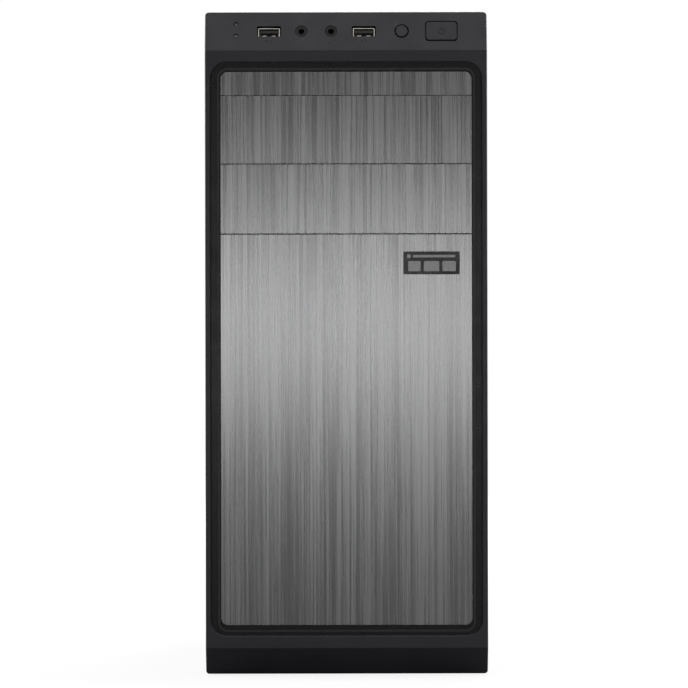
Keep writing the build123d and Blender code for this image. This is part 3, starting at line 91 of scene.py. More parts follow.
# ---------------------------------------------------------------- materials
class Shader:
    """A node material, with short calls for what most finishes share."""

    def __init__(self, name, metallic=0.0, roughness=0.5, colour=(0.5, 0.5, 0.5)):
        self.material = bpy.data.materials.new(name)
        self.material.use_nodes = True
        self.nodes = self.material.node_tree.nodes
        self.links = self.material.node_tree.links
        self.surface = self.nodes["Principled BSDF"]
        self.surface.inputs["Metallic"].default_value = metallic
        self.surface.inputs["Roughness"].default_value = roughness
        self.surface.inputs["Base Color"].default_value = (*colour, 1)
        self.place = self.nodes.new("ShaderNodeTexCoord").outputs["Object"]

    def set(self, **values):
        """Sets plain numbers on the surface's own sockets."""
        for name, value in values.items():
            self.surface.inputs[name.replace("_", " ")].default_value = value
        return self

    def link(self, output, socket):
        self.links.new(output, self.surface.inputs[socket])

    def stretched(self, x, y, z):
        """Object coordinates stretched by a factor along each axis."""
        node = self.nodes.new("ShaderNodeMapping")
        node.inputs["Scale"].default_value = (x, y, z)
        self.links.new(self.place, node.inputs["Vector"])
        return node.outputs["Vector"]

    def shifted(self, vector, offset):
        node = self.nodes.new("ShaderNodeMapping")
        node.inputs["Location"].default_value = offset
        self.links.new(vector, node.inputs["Vector"])
        return node.outputs["Vector"]

    def noise(self, scale, detail=3.0, roughness=0.5, vector=None):
        node = self.nodes.new("ShaderNodeTexNoise")
        node.inputs["Scale"].default_value = scale
        node.inputs["Detail"].default_value = detail
        node.inputs["Roughness"].default_value = roughness
        self.links.new(vector or self.place, node.inputs["Vector"])
        return node.outputs["Fac"]

    def cells(self, scale, vector=None, feature="F1", output="Color"):
        node = self.nodes.new("ShaderNodeTexVoronoi")
        node.feature = feature
        node.inputs["Scale"].default_value = scale
        self.links.new(vector or self.place, node.inputs["Vector"])
        return node.outputs[output]

    def math(self, operation, first, second=None, third=None):
        node = self.nodes.new("ShaderNodeMath")
        node.operation = operation
        for socket, value in zip(node.inputs, (first, second, third)):
            if isinstance(value, (int, float)):
                socket.default_value = value
            elif value is not None:
                self.links.new(value, socket)
        return node.outputs["Value"]

    def spread(self, value, low, high, to_low=0.0, to_high=1.0, smooth=True):
        """Maps a value's range onto another."""
        node = self.nodes.new("ShaderNodeMapRange")
        node.interpolation_type = "SMOOTHSTEP" if smooth else "LINEAR"
        self.links.new(value, node.inputs["Value"])
        limits = (("From Min", low), ("From Max", high), ("To Min", to_low), ("To Max", to_high))
        for name, number in limits:
            node.inputs[name].default_value = number
        return node.outputs["Result"]

    def blend(self, factor, first, second):
        """A colour between two, each a tuple or an output."""
        node = self.nodes.new("ShaderNodeMix")
        node.data_type = "RGBA"
        if isinstance(factor, (int, float)):
            node.inputs["Factor"].default_value = factor
        else:
            self.links.new(factor, node.inputs["Factor"])
        for socket, value in zip((node.inputs[6], node.inputs[7]), (first, second)):
            if isinstance(value, tuple):
                socket.default_value = (*value, 1)
            else:
                self.links.new(value, socket)
        return node.outputs[2]

    def axes(self):
        """The X, Y and Z of the place, as three outputs."""
        node = self.nodes.new("ShaderNodeSeparateXYZ")
        self.links.new(self.place, node.inputs["Vector"])
        return node.outputs

    def strip_part(self, direction):
        """How far the place lies from the strip's foot along one of the strip's directions."""
        _, y, z = self.axes()
        depth = self.math("MULTIPLY", self.math("SUBTRACT", y, strip_origin.y), direction.y)
        return self.math("MULTIPLY_ADD", self.math("SUBTRACT", z, strip_origin.z), direction.z, depth)

    def inside(self, value, low, high, soft=0.0001):
        """1 where the value lies between two limits."""
        rising = self.spread(value, low - soft, low + soft)
        falling = self.spread(value, high - soft, high + soft, 1.0, 0.0)
        return self.math("MULTIPLY", rising, falling)

    def both(self, *masks):
        result = masks[0]
        for mask in masks[1:]:
            result = self.math("MULTIPLY", result, mask)
        return result

    def bump(self, height, distance, strength=1.0, after=None):
        """Adds relief; distance is the height in metres of a change from 0 to 1."""
        node = self.nodes.new("ShaderNodeBump")
        node.inputs["Strength"].default_value = strength
        node.inputs["Distance"].default_value = distance
        self.links.new(height, node.inputs["Height"])
        if after is not None:
            self.links.new(after, node.inputs["Normal"])
        self.link(node.outputs["Normal"], "Normal")
        return node.outputs["Normal"]

    def tint(self, value, dark, light, low=0.3, high=0.7):
        """Base colour from one tone to another over a value's range."""
        colour = self.blend(self.spread(value, low, high), dark, light)
        self.link(colour, "Base Color")
        return colour

    def polish(self, value, smooth, rough, low=0.3, high=0.7):
        """Roughness from one amount to another over a value's range."""
        self.link(self.spread(value, low, high, smooth, rough), "Roughness")


BEZEL_DARK = (0.052, 0.052, 0.064)
BEZEL_LIGHT = (0.065, 0.065, 0.079)
# Near black: painted shade, used in the bezel's groove and in the strip's holes.
PAINTED_RECESS_SHADE = (0.0025, 0.0025, 0.0035)


def moulded_plastic(name, dark, light, roughness=0.45, grain=1800, relief=0.02 * MM):
    """Moulded plastic: a fine grain, slow colour drift and rubbed patches."""
    shader = Shader(name)
    drift = shader.noise(14, 4, 0.6)
    grains = shader.noise(grain, 2, 0.6)
    shader.tint(drift, dark, light)
    shader.polish(shader.noise(45, 5, 0.65), roughness - 0.06, roughness + 0.06)
    shader.bump(grains, relief)
    return shader


def button_plastic():
    """The buttons' smooth black plastic, with painted shade in the sunk symbol and down the sides."""
    shader = Shader("button_black")
    tone = shader.blend(shader.spread(shader.noise(14, 4, 0.6), 0.3, 0.7), BEZEL_DARK, BEZEL_LIGHT)
    # Painted shade: what lies less than 0.1 mm out of the strip, the sunk symbol and the cap's sides in its
    # gap, fades to near black.
    sunk = shader.spread(shader.strip_part(strip_out), -0.05 * MM, 0.1 * MM, 1.0, 0.0)
    shader.link(shader.blend(sunk, tone, (0.0025, 0.0025, 0.003)), "Base Color")
    shader.polish(shader.noise(45, 5, 0.65), 0.34, 0.46)
    shader.bump(shader.noise(2300, 2, 0.6), 0.01 * MM)
    return shader


def bezel_plastic():
    """Black moulded plastic with a fine grain, smoother in the groove, with painted shade darkening the
    groove and the holes.
    """
    shader = Shader("bezel_black")
    x, y, z = shader.axes()
    # The groove's mask darkens the colour as painted shade, and makes the finish smoother and free of
    # grain.
    behind_rim = shader.spread(y, face_y + GROOVE_START - 0.3 * MM, face_y + GROOVE_START)
    width = shader.inside(x, -GROOVE_HALF_WIDTH, GROOVE_HALF_WIDTH)
    height = shader.inside(z, GROOVE_LOW, GROOVE_HIGH)
    groove = shader.both(behind_rim, width, height)
    # Painted shade in the strip's holes: above the strip's foot, surfaces from 0.4 mm behind its face fade
    # to near black by 0.7 mm.
    above_foot = shader.spread(z, strip_origin.z + 2.5 * MM, strip_origin.z + 2.6 * MM)
    sunk = shader.spread(shader.strip_part(strip_out), -0.7 * MM, -0.4 * MM, 1.0, 0.0)
    dark = shader.math("MAXIMUM", groove, shader.both(above_foot, sunk))
    drift = shader.noise(11, 5, 0.6)
    base = shader.blend(shader.spread(drift, 0.3, 0.7), BEZEL_DARK, BEZEL_LIGHT)
    scuffs = shader.noise(1, 6, 0.7, shader.stretched(160, 160, 22))
    worn = shader.spread(scuffs, 0.62, 0.8, 0.0, 0.25)
    base = shader.blend(worn, base, (0.05, 0.05, 0.056))
    shader.link(shader.blend(dark, base, PAINTED_RECESS_SHADE), "Base Color")
    matt = shader.spread(shader.noise(60, 5, 0.65), 0.3, 0.7, 0.32, 0.4)
    shine = shader.math("MULTIPLY", groove, -0.06)
    shader.link(shader.math("ADD", matt, shine), "Roughness")
    grains = shader.noise(2300, 2, 0.6)
    flat = shader.math("SUBTRACT", 1.0, groove)
    shader.bump(shader.math("MULTIPLY", grains, flat), 0.02 * MM)
    return shader


def brushed_insert(name, seed):
    """Grey satin cover with long vertical brush lines; each cover was cut from another stretch."""
    shader = Shader(name, metallic=0.92)
    offset = (seed * 7.13, 0, seed * 3.7)
    broad = shader.noise(1, 2, 0.5, shader.shifted(shader.stretched(210, 8, 3.2), offset))
    lines = shader.noise(1, 3, 0.65, shader.shifted(shader.stretched(900, 8, 5.0), offset))
    hair = shader.noise(1, 2, 0.6, shader.shifted(shader.stretched(2600, 8, 14), offset))
    value = shader.math("MULTIPLY_ADD", lines, 0.55, shader.math("MULTIPLY", broad, 0.25))
    value = shader.math("MULTIPLY_ADD", hair, 0.2, value)
    shader.tint(value, (0.3, 0.3, 0.305), (0.54, 0.54, 0.545), 0.36, 0.64)
    shader.polish(value, 0.25, 0.295, 0.4, 0.6)
    shader.bump(value, 0.012 * MM)
    across = shader.nodes.new("ShaderNodeCombineXYZ")
    across.inputs["X"].default_value = 1.0
    shader.link(across.outputs["Vector"], "Tangent")
    return shader.set(Anisotropic=0.6)


def painted_steel():
    """Black powder coat with a fine orange peel and faint handling marks."""
    shader = Shader("black_powder_coat", roughness=0.42)
    shader.tint(shader.noise(9, 5, 0.6), (0.026, 0.026, 0.029), (0.038, 0.038, 0.042))
    rub = shader.noise(1, 7, 0.7, shader.stretched(30, 18, 60))
    shader.polish(rub, 0.36, 0.52)
    peel = shader.noise(900, 3, 0.55)
    shader.bump(peel, 0.035 * MM)
    return shader


def galvanised_steel():
    """Zinc-coated sheet: small spangles that differ in tone, with rolling lines."""
    shader = Shader("galvanised_sheet", metallic=1.0)
    spangle = shader.cells(260)
    grey = shader.nodes.new("ShaderNodeRGBToBW")
    shader.links.new(spangle, grey.inputs["Color"])
    rolling = shader.noise(1, 4, 0.6, shader.stretched(1200, 14, 1200))
    tone = shader.math("MULTIPLY_ADD", rolling, 0.4, shader.math("MULTIPLY", grey.outputs["Val"], 0.6))
    shader.tint(tone, (0.36, 0.37, 0.385), (0.6, 0.61, 0.62), 0.2, 0.85)
    shader.polish(tone, 0.32, 0.48, 0.2, 0.8)
    shader.bump(tone, 0.008 * MM)
    return shader


def plain_metal(name, dark, light, roughness=0.3, lines=(900, 900, 40)):
    """Bare or plated metal with tool lines and faint smears."""
    shader = Shader(name, metallic=1.0)
    marks = shader.noise(1, 4, 0.6, shader.stretched(*lines))
    smear = shader.noise(70, 4, 0.6)
    shader.tint(smear, dark, light)
    shader.polish(marks, roughness - 0.08, roughness + 0.1)
    shader.bump(marks, 0.006 * MM)
    return shader


def foot_rubber():
    """Matt rubber, pitted and dusty."""
    shader = Shader("foot_rubber", roughness=0.8)
    shader.tint(shader.noise(120, 5, 0.7), (0.012, 0.012, 0.012), (0.03, 0.029, 0.028))
    shader.polish(shader.noise(260, 4, 0.6), 0.7, 0.9)
    shader.bump(shader.noise(1500, 3, 0.6), 0.05 * MM)
    return shader


def circuit_board(name, dark, light, plane):
    """Solder-masked board with buried tracks and plated vias showing through the mask."""
    shader = Shader(name, roughness=0.32)
    flat = {"x": (0, 1, 1), "strip": (1, 1, 1)}[plane]
    tracks = shader.nodes.new("ShaderNodeTexBrick")
    tracks.inputs["Scale"].default_value = 420.0
    tracks.inputs["Mortar Size"].default_value = 0.018
    tracks.inputs["Brick Width"].default_value = 2.6
    tracks.inputs["Row Height"].default_value = 0.42
    swap = shader.nodes.new("ShaderNodeCombineXYZ")
    _, y, z = shader.axes()
    shader.links.new(y, swap.inputs["X"])
    shader.links.new(z, swap.inputs["Y"])
    shader.links.new(swap.outputs["Vector"], tracks.inputs["Vector"])
    copper = shader.math("SUBTRACT", 1.0, tracks.outputs["Fac"])
    patches = shader.spread(shader.noise(38, 2, 0.5), 0.45, 0.55)
    copper = shader.math("MULTIPLY", copper, patches)
    via = shader.cells(650, shader.stretched(*flat), "F1", "Distance")
    ring = shader.spread(via, 0.1, 0.16, 1.0, 0.0)
    base = shader.blend(copper, dark, light)
    base = shader.blend(shader.math("MULTIPLY", ring, 0.6), base, (0.5, 0.42, 0.2))
    shader.link(base, "Base Color")
    shader.bump(copper, 0.03 * MM)
    shader.polish(shader.noise(90, 3, 0.5), 0.25, 0.42)
    return shader


def clear_plastic():
    """The light pipes' clear plastic, dark because the lamps behind it are off."""
    shader = Shader("clear_light_pipe", roughness=0.12)
    shader.tint(shader.noise(600, 3, 0.5), (0.035, 0.036, 0.04), (0.1, 0.105, 0.115))
    shader.bump(shader.noise(900, 2, 0.5), 0.02 * MM)
    return shader.set(IOR=1.49, Transmission_Weight=0.2, Coat_Weight=0.4)


def braided_lead(name, dark, light):
    """A woven sleeve: small tufts of strands with a fuzz of fibres."""
    shader = Shader(name, roughness=0.62)
    wave = shader.cells(950, None, "SMOOTH_F1", "Distance")
    fuzz = shader.noise(2400, 3, 0.6)
    shader.tint(shader.math("ADD", wave, shader.math("MULTIPLY", fuzz, 0.3)), light, dark, 0.2, 0.8)
    shader.polish(fuzz, 0.5, 0.75)
    shader.bump(wave, 0.25 * MM)
    return shader


def smooth_jacket(name, dark, light):
    """A plain extruded jacket with a slight waviness."""
    shader = Shader(name, roughness=0.4)
    shader.tint(shader.noise(150, 4, 0.6), dark, light)
    shader.polish(shader.noise(320, 3, 0.6), 0.32, 0.5)
    shader.bump(shader.noise(700, 3, 0.5), 0.04 * MM)
    return shader


def printed_white():
    """White print with slightly uneven ink."""
    shader = Shader("printed_white", roughness=0.4)
    shader.tint(shader.noise(700, 3, 0.6), (0.72, 0.72, 0.72), (0.86, 0.86, 0.85))
    shader.bump(shader.noise(1800, 2, 0.5), 0.01 * MM)
    return shader


def usb_metal():
    """Plated shells whose tongue is black plastic."""
    shader = Shader("usb_shell")
    half_tongue, tongue_low, tongue_high = 5.6 * MM, 0.04 * MM, 1.76 * MM
    soft = 0.02 * MM
    x = shader.axes()[0]
    row = shader.strip_part(strip_up)
    tongue_row = shader.inside(row, USB_ROW + tongue_low, USB_ROW + tongue_high, soft)
    columns = []
    for centre in USB_COLUMNS:
        columns.append(shader.inside(x, centre - half_tongue, centre + half_tongue, soft))
    black = shader.math("MULTIPLY", tongue_row, shader.math("MAXIMUM", *columns))
    smear = shader.noise(300, 4, 0.6)
    metal = shader.blend(smear, (0.52, 0.49, 0.44), (0.72, 0.69, 0.63))
    shader.link(shader.blend(black, metal, (0.006, 0.006, 0.007)), "Base Color")
    shader.link(shader.math("SUBTRACT", 1.0, black), "Metallic")
    shader.polish(shader.noise(1, 3, 0.6, shader.stretched(500, 2000, 2000)), 0.24, 0.4)
    shader.bump(smear, 0.006 * MM)
    return shader


def drive_casting():
    """Cast aluminium with a fine shot-blasted skin."""
    shader = Shader("drive_casting", metallic=1.0)
    shader.tint(shader.noise(180, 5, 0.7), (0.3, 0.31, 0.33), (0.46, 0.47, 0.49))
    shader.polish(shader.noise(700, 4, 0.6), 0.38, 0.58)
    shader.bump(shader.noise(1300, 3, 0.6), 0.05 * MM)
    return shader


# ---------------------------------------------------------------- pieces added to the frame
def add_mesh(name, shape, shader, body, smooth=False):
    """Turns a bmesh into a piece that rides on a body."""
    mesh = bpy.data.meshes.new(name)
    bmesh.ops.recalc_face_normals(shape, faces=shape.faces[:])
    for face in shape.faces:
        face.smooth = smooth
    shape.to_mesh(mesh)
    shape.free()
    mesh.materials.append(shader.material)
    piece = bpy.data.objects.new(name, mesh)
    scene.collection.objects.link(piece)
    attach(piece, body)
    return piece


def add_prism(shape, outline, up, thickness, bevel=0.0):
    """Adds a closed outline raised along a direction, with its raised edge softened."""
    foot = [shape.verts.new(point) for point in outline]
    centre = sum(outline, Vector()) / len(outline)
    raised = []
    for point in outline:
        inward = (centre - point).normalized() * bevel
        raised.append(shape.verts.new(point + inward + up * thickness))
    waist = [shape.verts.new(point + up * (thickness - bevel)) for point in outline] if bevel else None
    rings = [foot, waist, raised] if bevel else [foot, raised]
    for lower, upper in zip(rings, rings[1:]):
        for index in range(len(outline)):
            after = (index + 1) % len(outline)
            shape.faces.new((lower[index], lower[after], upper[after], upper[index]))
    shape.faces.new(raised)
    shape.faces.new(list(reversed(foot)))


def rounded_outline(centre, right, up, width, height, radius, steps=5):
    """The points of a rectangle with round corners, in the plane of two directions."""
    points = []
    for turn, (side_x, side_y) in enumerate(((1, 1), (-1, 1), (-1, -1), (1, -1))):
        corner_x = side_x * (width / 2 - radius)
        corner_y = side_y * (height / 2 - radius)
        for step in range(steps + 1):
            angle = math.radians(90 * turn + 90 * step / steps)
            across = corner_x + radius * math.cos(angle)
            along = corner_y + radius * math.sin(angle)
            points.append(centre + right * across + up * along)
    return points


def add_stroke(shape, points, out, width, height, closed=False):
    """A raised line with a rounded crown that follows points on a surface."""
    count = len(points)
    rings = []
    for index, point in enumerate(points):
        before = points[index - 1] if index or closed else point
        after = points[(index + 1) % count] if index < count - 1 or closed else point
        side = (after - before).cross(out).normalized()
        ring = []
        for angle in (0, 45, 90, 135, 180):
            lean = side * math.cos(math.radians(angle)) * width / 2
            ring.append(shape.verts.new(point + lean + out * math.sin(math.radians(angle)) * height))
        rings.append(ring)
    pairs = list(zip(rings, rings[1:])) + ([(rings[-1], rings[0])] if closed else [])
    for first, second in pairs:
        for index in range(4):
            shape.faces.new((first[index], first[index + 1], second[index + 1], second[index]))
        shape.faces.new((first[4], first[0], second[0], second[4]))
    if not closed:
        shape.faces.new(rings[0])
        shape.faces.new(list(reversed(rings[-1])))


def arc_on_strip(column, row, radius, start, end, steps=14, lift=0.0):
    """Points of an arc drawn on the control strip, in degrees from the right."""
    angles = [math.radians(start + (end - start) * step / steps) for step in range(steps + 1)]
    return [on_strip(column + radius * math.cos(a), row + radius * math.sin(a), lift) for a in angles]


def make_badge_marks(shader):
    """Plain white shapes in place of the badge's printing."""
    shape = bmesh.new()
    centre = (badge_low + badge_high) / 2
    centre.y = badge_low.y
    right, up, out = Vector((1, 0, 0)), Vector((0, 0, 1)), Vector((0, -1, 0))
    print_thickness = 0.06 * MM
    marks = (               # across and up from the middle, width, height, corner radius
        (1.6, 4.1, 26.0, 1.5, 0.3),
        (-13.9, 4.1, 2.2, 2.2, 0.3),
        (-10.5, -2.0, 7.6, 6.2, 0.6),
        (0.0, -2.0, 9.4, 6.2, 0.6),
        (10.8, -2.0, 8.2, 6.2, 0.6),
    )
    for across, above, width, height, radius in marks:
        place = centre + right * across * MM + up * above * MM
        outline = rounded_outline(place, right, up, width * MM, height * MM, radius * MM)
        add_prism(shape, outline, out, print_thickness)
    add_mesh("badge_marks", shape, shader, "front_bezel")


def make_strip_icons(shader):
    """Small moulded symbols: a plug tree, headphones, a microphone, a drive and a lamp."""
    shape = bmesh.new()
    line, rise = 0.34 * MM, 0.12 * MM

    def stroke(points, closed=False):
        add_stroke(shape, points, strip_out, line, rise, closed)

    def draw(column, row, *corners, closed=False):
        """A stroke through corners given in millimetres from a place on the strip."""
        stroke([on_strip(column + x * MM, row + y * MM) for x, y in corners], closed)

    low_row = CONTROL_ROW - ICON_DROP
    for column in USB_COLUMNS:
        draw(column, low_row, (-2.6, 0), (2.6, 0))
        draw(column, low_row, (-1.4, 0), (-0.4, 1.0), (1.0, 1.0))
        draw(column, low_row, (-0.8, 0), (0.2, -1.0), (1.4, -1.0))
        stroke(arc_on_strip(column - 2.9 * MM, low_row, 0.45 * MM, 0, 330), True)
    headphones, microphone = JACK_COLUMNS
    stroke(arc_on_strip(headphones, low_row, 1.9 * MM, 0, 180))
    for side in (-1, 1):
        draw(headphones, low_row, (side * 1.9, 0), (side * 1.9, -1.3))
    stroke(arc_on_strip(microphone, low_row + 0.8 * MM, 0.8 * MM, 0, 345), True)
    stroke(arc_on_strip(microphone, low_row + 0.3 * MM, 1.6 * MM, 180, 360))
    draw(microphone, low_row, (0, -1.3), (0, -2.1))
    lamp_column = LED_COLUMN - 5.2 * MM
    drive_row, lamp_row = LED_ROWS
    stroke(arc_on_strip(lamp_column, lamp_row, 1.1 * MM, 0, 345), True)
    draw(lamp_column, lamp_row, (0, -0.4), (0, 0.4))
    draw(lamp_column, drive_row, (-1.1, -1.0), (1.1, -1.0), (1.1, 1.0), (-1.1, 1.0), closed=True)
    add_mesh("strip_icons", shape, shader, "front_bezel", smooth=True)


def make_power_symbol(shader):
    """The dark power symbol on the cap: an open ring with a short bar in its gap."""
    shape = bmesh.new()
    line, rise = 0.66 * MM, 0.04 * MM
    ring = arc_on_strip(POWER_COLUMN, CONTROL_ROW, 1.9 * MM, 125, 415, 24, CAP_PROUD)
    add_stroke(shape, ring, strip_out, line, rise)
    bar = [on_strip(POWER_COLUMN, CONTROL_ROW + row * MM, CAP_PROUD) for row in (0.3, 2.7)]
    add_stroke(shape, bar, strip_out, line, rise)
    add_mesh("power_symbol", shape, shader, "power_button", smooth=True)


def make_usb_tabs(shader):
    """The two sprung tabs that bend into the mouth of each shell from below."""
    shape = bmesh.new()
    right = Vector((1, 0, 0))
    tab_column, tab_row, mouth = 2.9 * MM, -2.35 * MM, -1.55 * MM
    thickness = 0.22
    bends = (               # depth, half width and rise of each fold, in millimetres
        (0.0, 1.3, 0.0), (-1.1, 1.25, 0.62), (-2.6, 1.1, 0.78), (-4.0, 0.9, 0.2),
    )
    section = ((-1, 0), (1, 0), (1, thickness), (-1, thickness))
    for column in USB_COLUMNS:
        for side in (-1, 1):
            place = on_strip(column + side * tab_column, USB_ROW + tab_row, mouth)
            rings = []
            for depth, half, rise in bends:
                centre = place + strip_out * depth * MM + strip_up * rise * MM
                corners = [centre + right * x * half * MM + strip_up * y * MM for x, y in section]
                rings.append([shape.verts.new(corner) for corner in corners])
            for first, second in zip(rings, rings[1:]):
                for index in range(4):
                    after = (index + 1) % 4
                    shape.faces.new((first[index], first[after], second[after], second[index]))
            shape.faces.new(rings[0])
            shape.faces.new(list(reversed(rings[-1])))
    add_mesh("usb_spring_tabs", shape, shader, "front_bezel", smooth=False)


PANEL_LEAD_RADIUS = 2.2 * MM
PANEL_LEAD_ROUTE = (                  # millimetres, from the control board to the motherboard
    (64, -167.4, 388.9), (64, -160.4, 386.5), (72, -149, 380), (79.4, -141, 350), (79.6, -128, 300),
    (79.6, -112, 250), (79.6, -90, 200), (79.6, -62, 155), (77, -40, 122), (63, -27, 104), (48.9, -17, 100),
    (48.9, -5, 100),
)


def make_front_panel_lead(shader):
    """The front panel's sleeved lead: a smooth tube along its route, in place of the imported lead."""
    curve = bpy.data.curves.new("front_panel_lead_path", "CURVE")
    curve.dimensions = "3D"
    curve.resolution_u = 12
    curve.bevel_depth = PANEL_LEAD_RADIUS
    curve.bevel_resolution = 4
    curve.use_fill_caps = True
    spline = curve.splines.new("NURBS")
    spline.points.add(len(PANEL_LEAD_ROUTE) - 1)
    for point, place in zip(spline.points, PANEL_LEAD_ROUTE):
        point.co = (*[value * MM for value in place], 1)
    spline.order_u = 3
    spline.use_endpoint_u = True
    helper = bpy.data.objects.new("front_panel_lead_helper", curve)
    scene.collection.objects.link(helper)
    graph = bpy.context.evaluated_depsgraph_get()
    mesh = bpy.data.meshes.new_from_object(helper.evaluated_get(graph))
    bpy.data.objects.remove(helper)
    for polygon in mesh.polygons:
        polygon.use_smooth = True
    mesh.materials.clear()
    mesh.materials.append(shader.material)
    piece = bpy.data.objects.new("front_panel_sleeve", mesh)
    scene.collection.objects.link(piece)
    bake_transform(piece)
    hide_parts("front_panel_lead")


def assign(shader, *nodes):
    """Gives a CAD node a finish in all of its slots."""
    for node in nodes:
        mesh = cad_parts[node].data
        mesh.materials.clear()
        mesh.materials.append(shader.material)
        for polygon in mesh.polygons:
            polygon.material_index = 0


def dress_frame():
    """Gives every CAD node its finish."""
    black = moulded_plastic("moulded_black", (0.012, 0.012, 0.013), (0.022, 0.022, 0.024))
    button = button_plastic()
    icon = moulded_plastic("icon_grey", (0.14, 0.14, 0.15), (0.19, 0.19, 0.2), 0.4, 2300, 0.01 * MM)
    fan = moulded_plastic("fan_black", (0.012, 0.012, 0.014), (0.024, 0.024, 0.026), 0.38, 900)
    socket = moulded_plastic("connector_black", (0.02, 0.02, 0.024), (0.04, 0.04, 0.045), 0.5, 1500)
    nylon = moulded_plastic("natural_nylon", (0.6, 0.58, 0.5), (0.74, 0.72, 0.64), 0.45, 900)
    zinc = galvanised_steel()
    paint = painted_steel()
    screw = plain_metal("zinc_plated", (0.45, 0.45, 0.44), (0.66, 0.66, 0.64), 0.28, (1500, 1500, 1500))
    bright = plain_metal("bright_plate", (0.5, 0.5, 0.5), (0.7, 0.7, 0.7), 0.24)
    fins = plain_metal("extruded_aluminium", (0.6, 0.6, 0.61), (0.78, 0.78, 0.79), 0.3, (60, 1400, 1400))
    brass = plain_metal("turned_brass", (0.55, 0.36, 0.12), (0.72, 0.5, 0.2), 0.26, (1800, 60, 60))
    board = circuit_board("board_green", (0.006, 0.035, 0.02), (0.012, 0.075, 0.04), "x")
    module = circuit_board("module_green", (0.006, 0.045, 0.022), (0.012, 0.09, 0.045), "x")
    control = circuit_board("control_board_green", (0.01, 0.06, 0.03), (0.02, 0.11, 0.05), "strip")
    parts = moulded_plastic("component_dark", (0.02, 0.02, 0.024), (0.07, 0.07, 0.08), 0.35, 1200)

    assign(bezel_plastic(), "front_bezel")
    covers = ("top_filler_strip", "upper_bay_cover", "lower_bay_cover", "lower_front_panel")
    for seed, node in enumerate(covers, 1):
        assign(brushed_insert("brushed_" + node, seed), node)
    badge_black = (0.003, 0.003, 0.003), (0.006, 0.006, 0.006)
    assign(moulded_plastic("badge_gloss", *badge_black, 0.22, 900, 0.004 * MM), "badge_plate")
    assign(button, "power_button_cap", "reset_button_cap")
    assign(clear_plastic(), "front_leds")
    assign(usb_metal(), "front_usb_ports")
    assign(black, "front_audio_jacks", "psu_inlet")
    assign(control, "front_io_board")
    assign(paint, "chassis_top_plate", "left_side_panel", "right_side_panel")
    assign(zinc, "chassis_front_plate", "chassis_bottom_plate", "chassis_rear_plate", "motherboard_tray",
           "optical_drive_cage", "hard_drive_cage", "slot_covers", "psu_case", "psu_cover")
    assign(screw, "case_screws", "left_lower_thumbscrew", "left_upper_thumbscrew", "right_lower_thumbscrew",
           "right_upper_thumbscrew")
    assign(foot_rubber(), "feet")
    assign(bright, "rear_io_shield", "rear_io_ports", "hard_drive_lid", "cpu_socket")
    assign(fins, "cpu_heatsink", "chipset_heatsink")
    assign(brass, "board_standoffs")
    assign(board, "motherboard")
    assign(module, "memory_modules")
    assign(socket, "memory_slots", "expansion_slots", "board_connectors")
    assign(parts, "board_components", "psu_circuit_board")
    assign(fan, "cpu_fan_frame", "cpu_fan_rotor", "rear_fan_frame", "rear_fan_rotor", "psu_fan_frame",
           "psu_fan_rotor")
    rocker_black = (0.008, 0.008, 0.008), (0.014, 0.014, 0.014)
    assign(moulded_plastic("rocker_gloss", *rocker_black, 0.25, 700, 0.005 * MM), "psu_rocker")
    assign(drive_casting(), "hard_drive")
    sleeve = braided_lead("sleeve_black", (0.008, 0.008, 0.009), (0.05, 0.05, 0.055))
    assign(sleeve, "main_power_lead", "cpu_power_lead", "drive_power_lead", "front_panel_lead")
    assign(smooth_jacket("jacket_red", (0.22, 0.012, 0.01), (0.36, 0.02, 0.018)), "drive_data_lead")
    assign(nylon, "lead_plugs", "cable_ties")

    make_badge_marks(printed_white())
    make_strip_icons(icon)
    make_power_symbol(black)
    make_usb_tabs(plain_metal("spring_steel", (0.6, 0.57, 0.52), (0.8, 0.77, 0.7), 0.25))
    make_front_panel_lead(sleeve)


# ---------------------------------------------------------------- stage, light and camera
def make_stage():
    """A wide floor that curves up into a backdrop all round, and that the camera sees as white, with a
    slightly weaker glow near the middle as painted shade.
    """
    rings, bends = 48, 12
    flat_radius, bend_radius, wall_height = 5.0, 3.0, 8.0
    steps = [(1.5, 0.0), (flat_radius, 0.0)]
    for number in range(1, bends + 1):
        angle = math.radians(90 * number / bends)
        steps.append((flat_radius + bend_radius * math.sin(angle), bend_radius * (1 - math.cos(angle))))
    steps.append((flat_radius + bend_radius, wall_height))
    mesh = bpy.data.meshes.new("studio_floor")
    shape = bmesh.new()
    loops = []
    for radius, height in steps:
        loops.append([shape.verts.new((radius * math.cos(2 * math.pi * turn / rings),
                                       radius * math.sin(2 * math.pi * turn / rings), height))
                      for turn in range(rings)])
    shape.faces.new(loops[0])
    for inner, outer in zip(loops, loops[1:]):
        for turn in range(rings):
            after = (turn + 1) % rings
            shape.faces.new((inner[turn], outer[turn], outer[after], inner[after]))
    for polygon in shape.faces:
        polygon.smooth = True
    shape.to_mesh(mesh)
    shape.free()
    floor = bpy.data.objects.new("studio_floor", mesh)
    scene.collection.objects.link(floor)
    shader = Shader("studio_white", roughness=0.95, colour=(0.16, 0.16, 0.16))
    path = shader.nodes.new("ShaderNodeLightPath")
    x, y, _ = shader.axes()
    squares = [shader.math("MULTIPLY", part, part) for part in (x, y)]
    reach = shader.math("SQRT", shader.math("ADD", *squares))
    # Painted shade around the tower: the camera-seen glow drops from 1.0 at 2.5 m out to 0.88 near the
    # middle.
    glow = shader.spread(reach, 0.2, 2.5, 0.88, 1.0)
    shader.link(shader.math("MULTIPLY", path.outputs["Is Camera Ray"], glow), "Emission Strength")
    shader.set(Specular_IOR_Level=0.0, Emission_Color=(1, 1, 1, 1))
    mesh.materials.append(shader.material)
    return floor


def add_area(name, place, target, size, power):
    """A white rectangular lamp that faces a target and that the camera doesn't see."""
    light = bpy.data.lights.new(name, "AREA")
    light.shape = "RECTANGLE"
    light.size, light.size_y = size
    light.energy = power
    lamp = bpy.data.objects.new(name, light)
    lamp.location = place
    lamp.rotation_euler = (Vector(target) - Vector(place)).to_track_quat("-Z", "Y").to_euler()
    lamp.visible_camera = False
    scene.collection.objects.link(lamp)


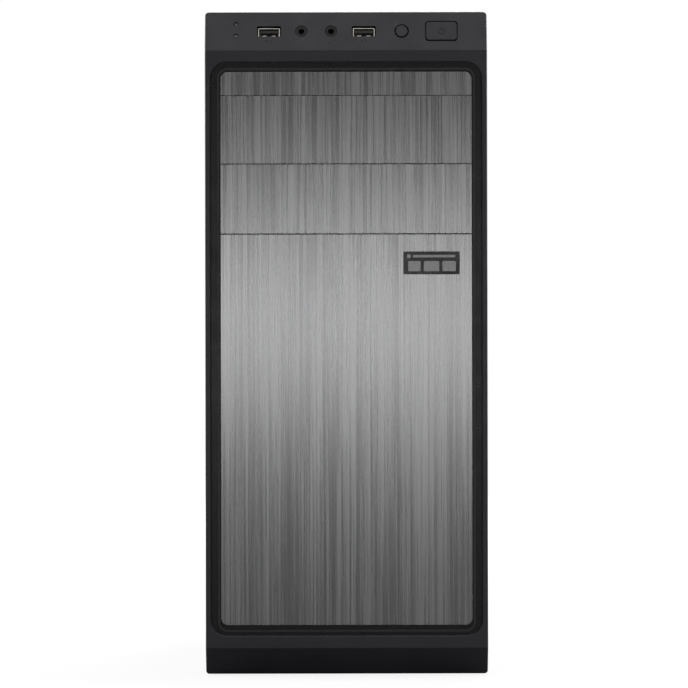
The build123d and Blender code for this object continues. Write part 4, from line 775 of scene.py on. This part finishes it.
def make_lights():
    """A low wide strip that the brushed insert mirrors at mid height, and soft fill all round."""
    middle = (0, 0.1, 0.2)
    add_area("front_strip", (0, -2.1, 0.232), (0, 0, 0.222), (1.9, 0.1), 2.35)
    add_area("front_key", (0, -1.9, 2.0), (0, -0.1, 0.2), (2.0, 1.2), 7)
    add_area("strip_light", (0, -1.75, 1.65), (0, -0.185, 0.39), (1.8, 0.5), 0.5)
    add_area("overhead", (0, 0.2, 2.6), (0, 0.1, 0), (2.2, 2.2), 20)
    add_area("left_side", (-2.4, 0.4, 0.9), middle, (0.9, 1.2), 45)
    add_area("right_side", (2.4, 0.4, 0.9), middle, (0.9, 1.2), 45)
    add_area("rear", (0.5, 2.4, 1.2), middle, (1.4, 1.2), 60)


def make_world():
    """Dim grey surroundings that the camera itself sees as white."""
    world = bpy.data.worlds.new("studio")
    scene.world = world
    world.use_nodes = True
    nodes, links = world.node_tree.nodes, world.node_tree.links
    background = nodes["Background"]
    path = nodes.new("ShaderNodeLightPath")
    mix = nodes.new("ShaderNodeMix")
    mix.data_type = "RGBA"
    mix.inputs[6].default_value = (0.045, 0.045, 0.047, 1)
    mix.inputs[7].default_value = (1, 1, 1, 1)
    links.new(path.outputs["Is Camera Ray"], mix.inputs["Factor"])
    links.new(mix.outputs[2], background.inputs["Color"])


CAMERA_DISTANCE = 2.6        # from the bezel's face
VIEW_WIDTH = 0.4213          # width seen at the bezel's face
CAMERA_ROLL = math.radians(0.11)
CAMERA_ACROSS, CAMERA_HEIGHT = -0.0015, 0.2037
SENSOR_WIDTH = 36.0          # Blender's millimetres


def make_camera():
    """Level with the middle of the tower, square to its front."""
    data = bpy.data.cameras.new("camera")
    data.sensor_width = SENSOR_WIDTH
    data.lens = SENSOR_WIDTH * CAMERA_DISTANCE / VIEW_WIDTH
    camera = bpy.data.objects.new("camera", data)
    camera.location = (CAMERA_ACROSS, face_y - CAMERA_DISTANCE, CAMERA_HEIGHT)
    camera.rotation_euler = (math.radians(90), CAMERA_ROLL, 0)
    scene.collection.objects.link(camera)
    scene.camera = camera


make_camera()
make_world()
make_stage()
make_lights()
dress_frame()
scene.view_settings.view_transform = "Standard"
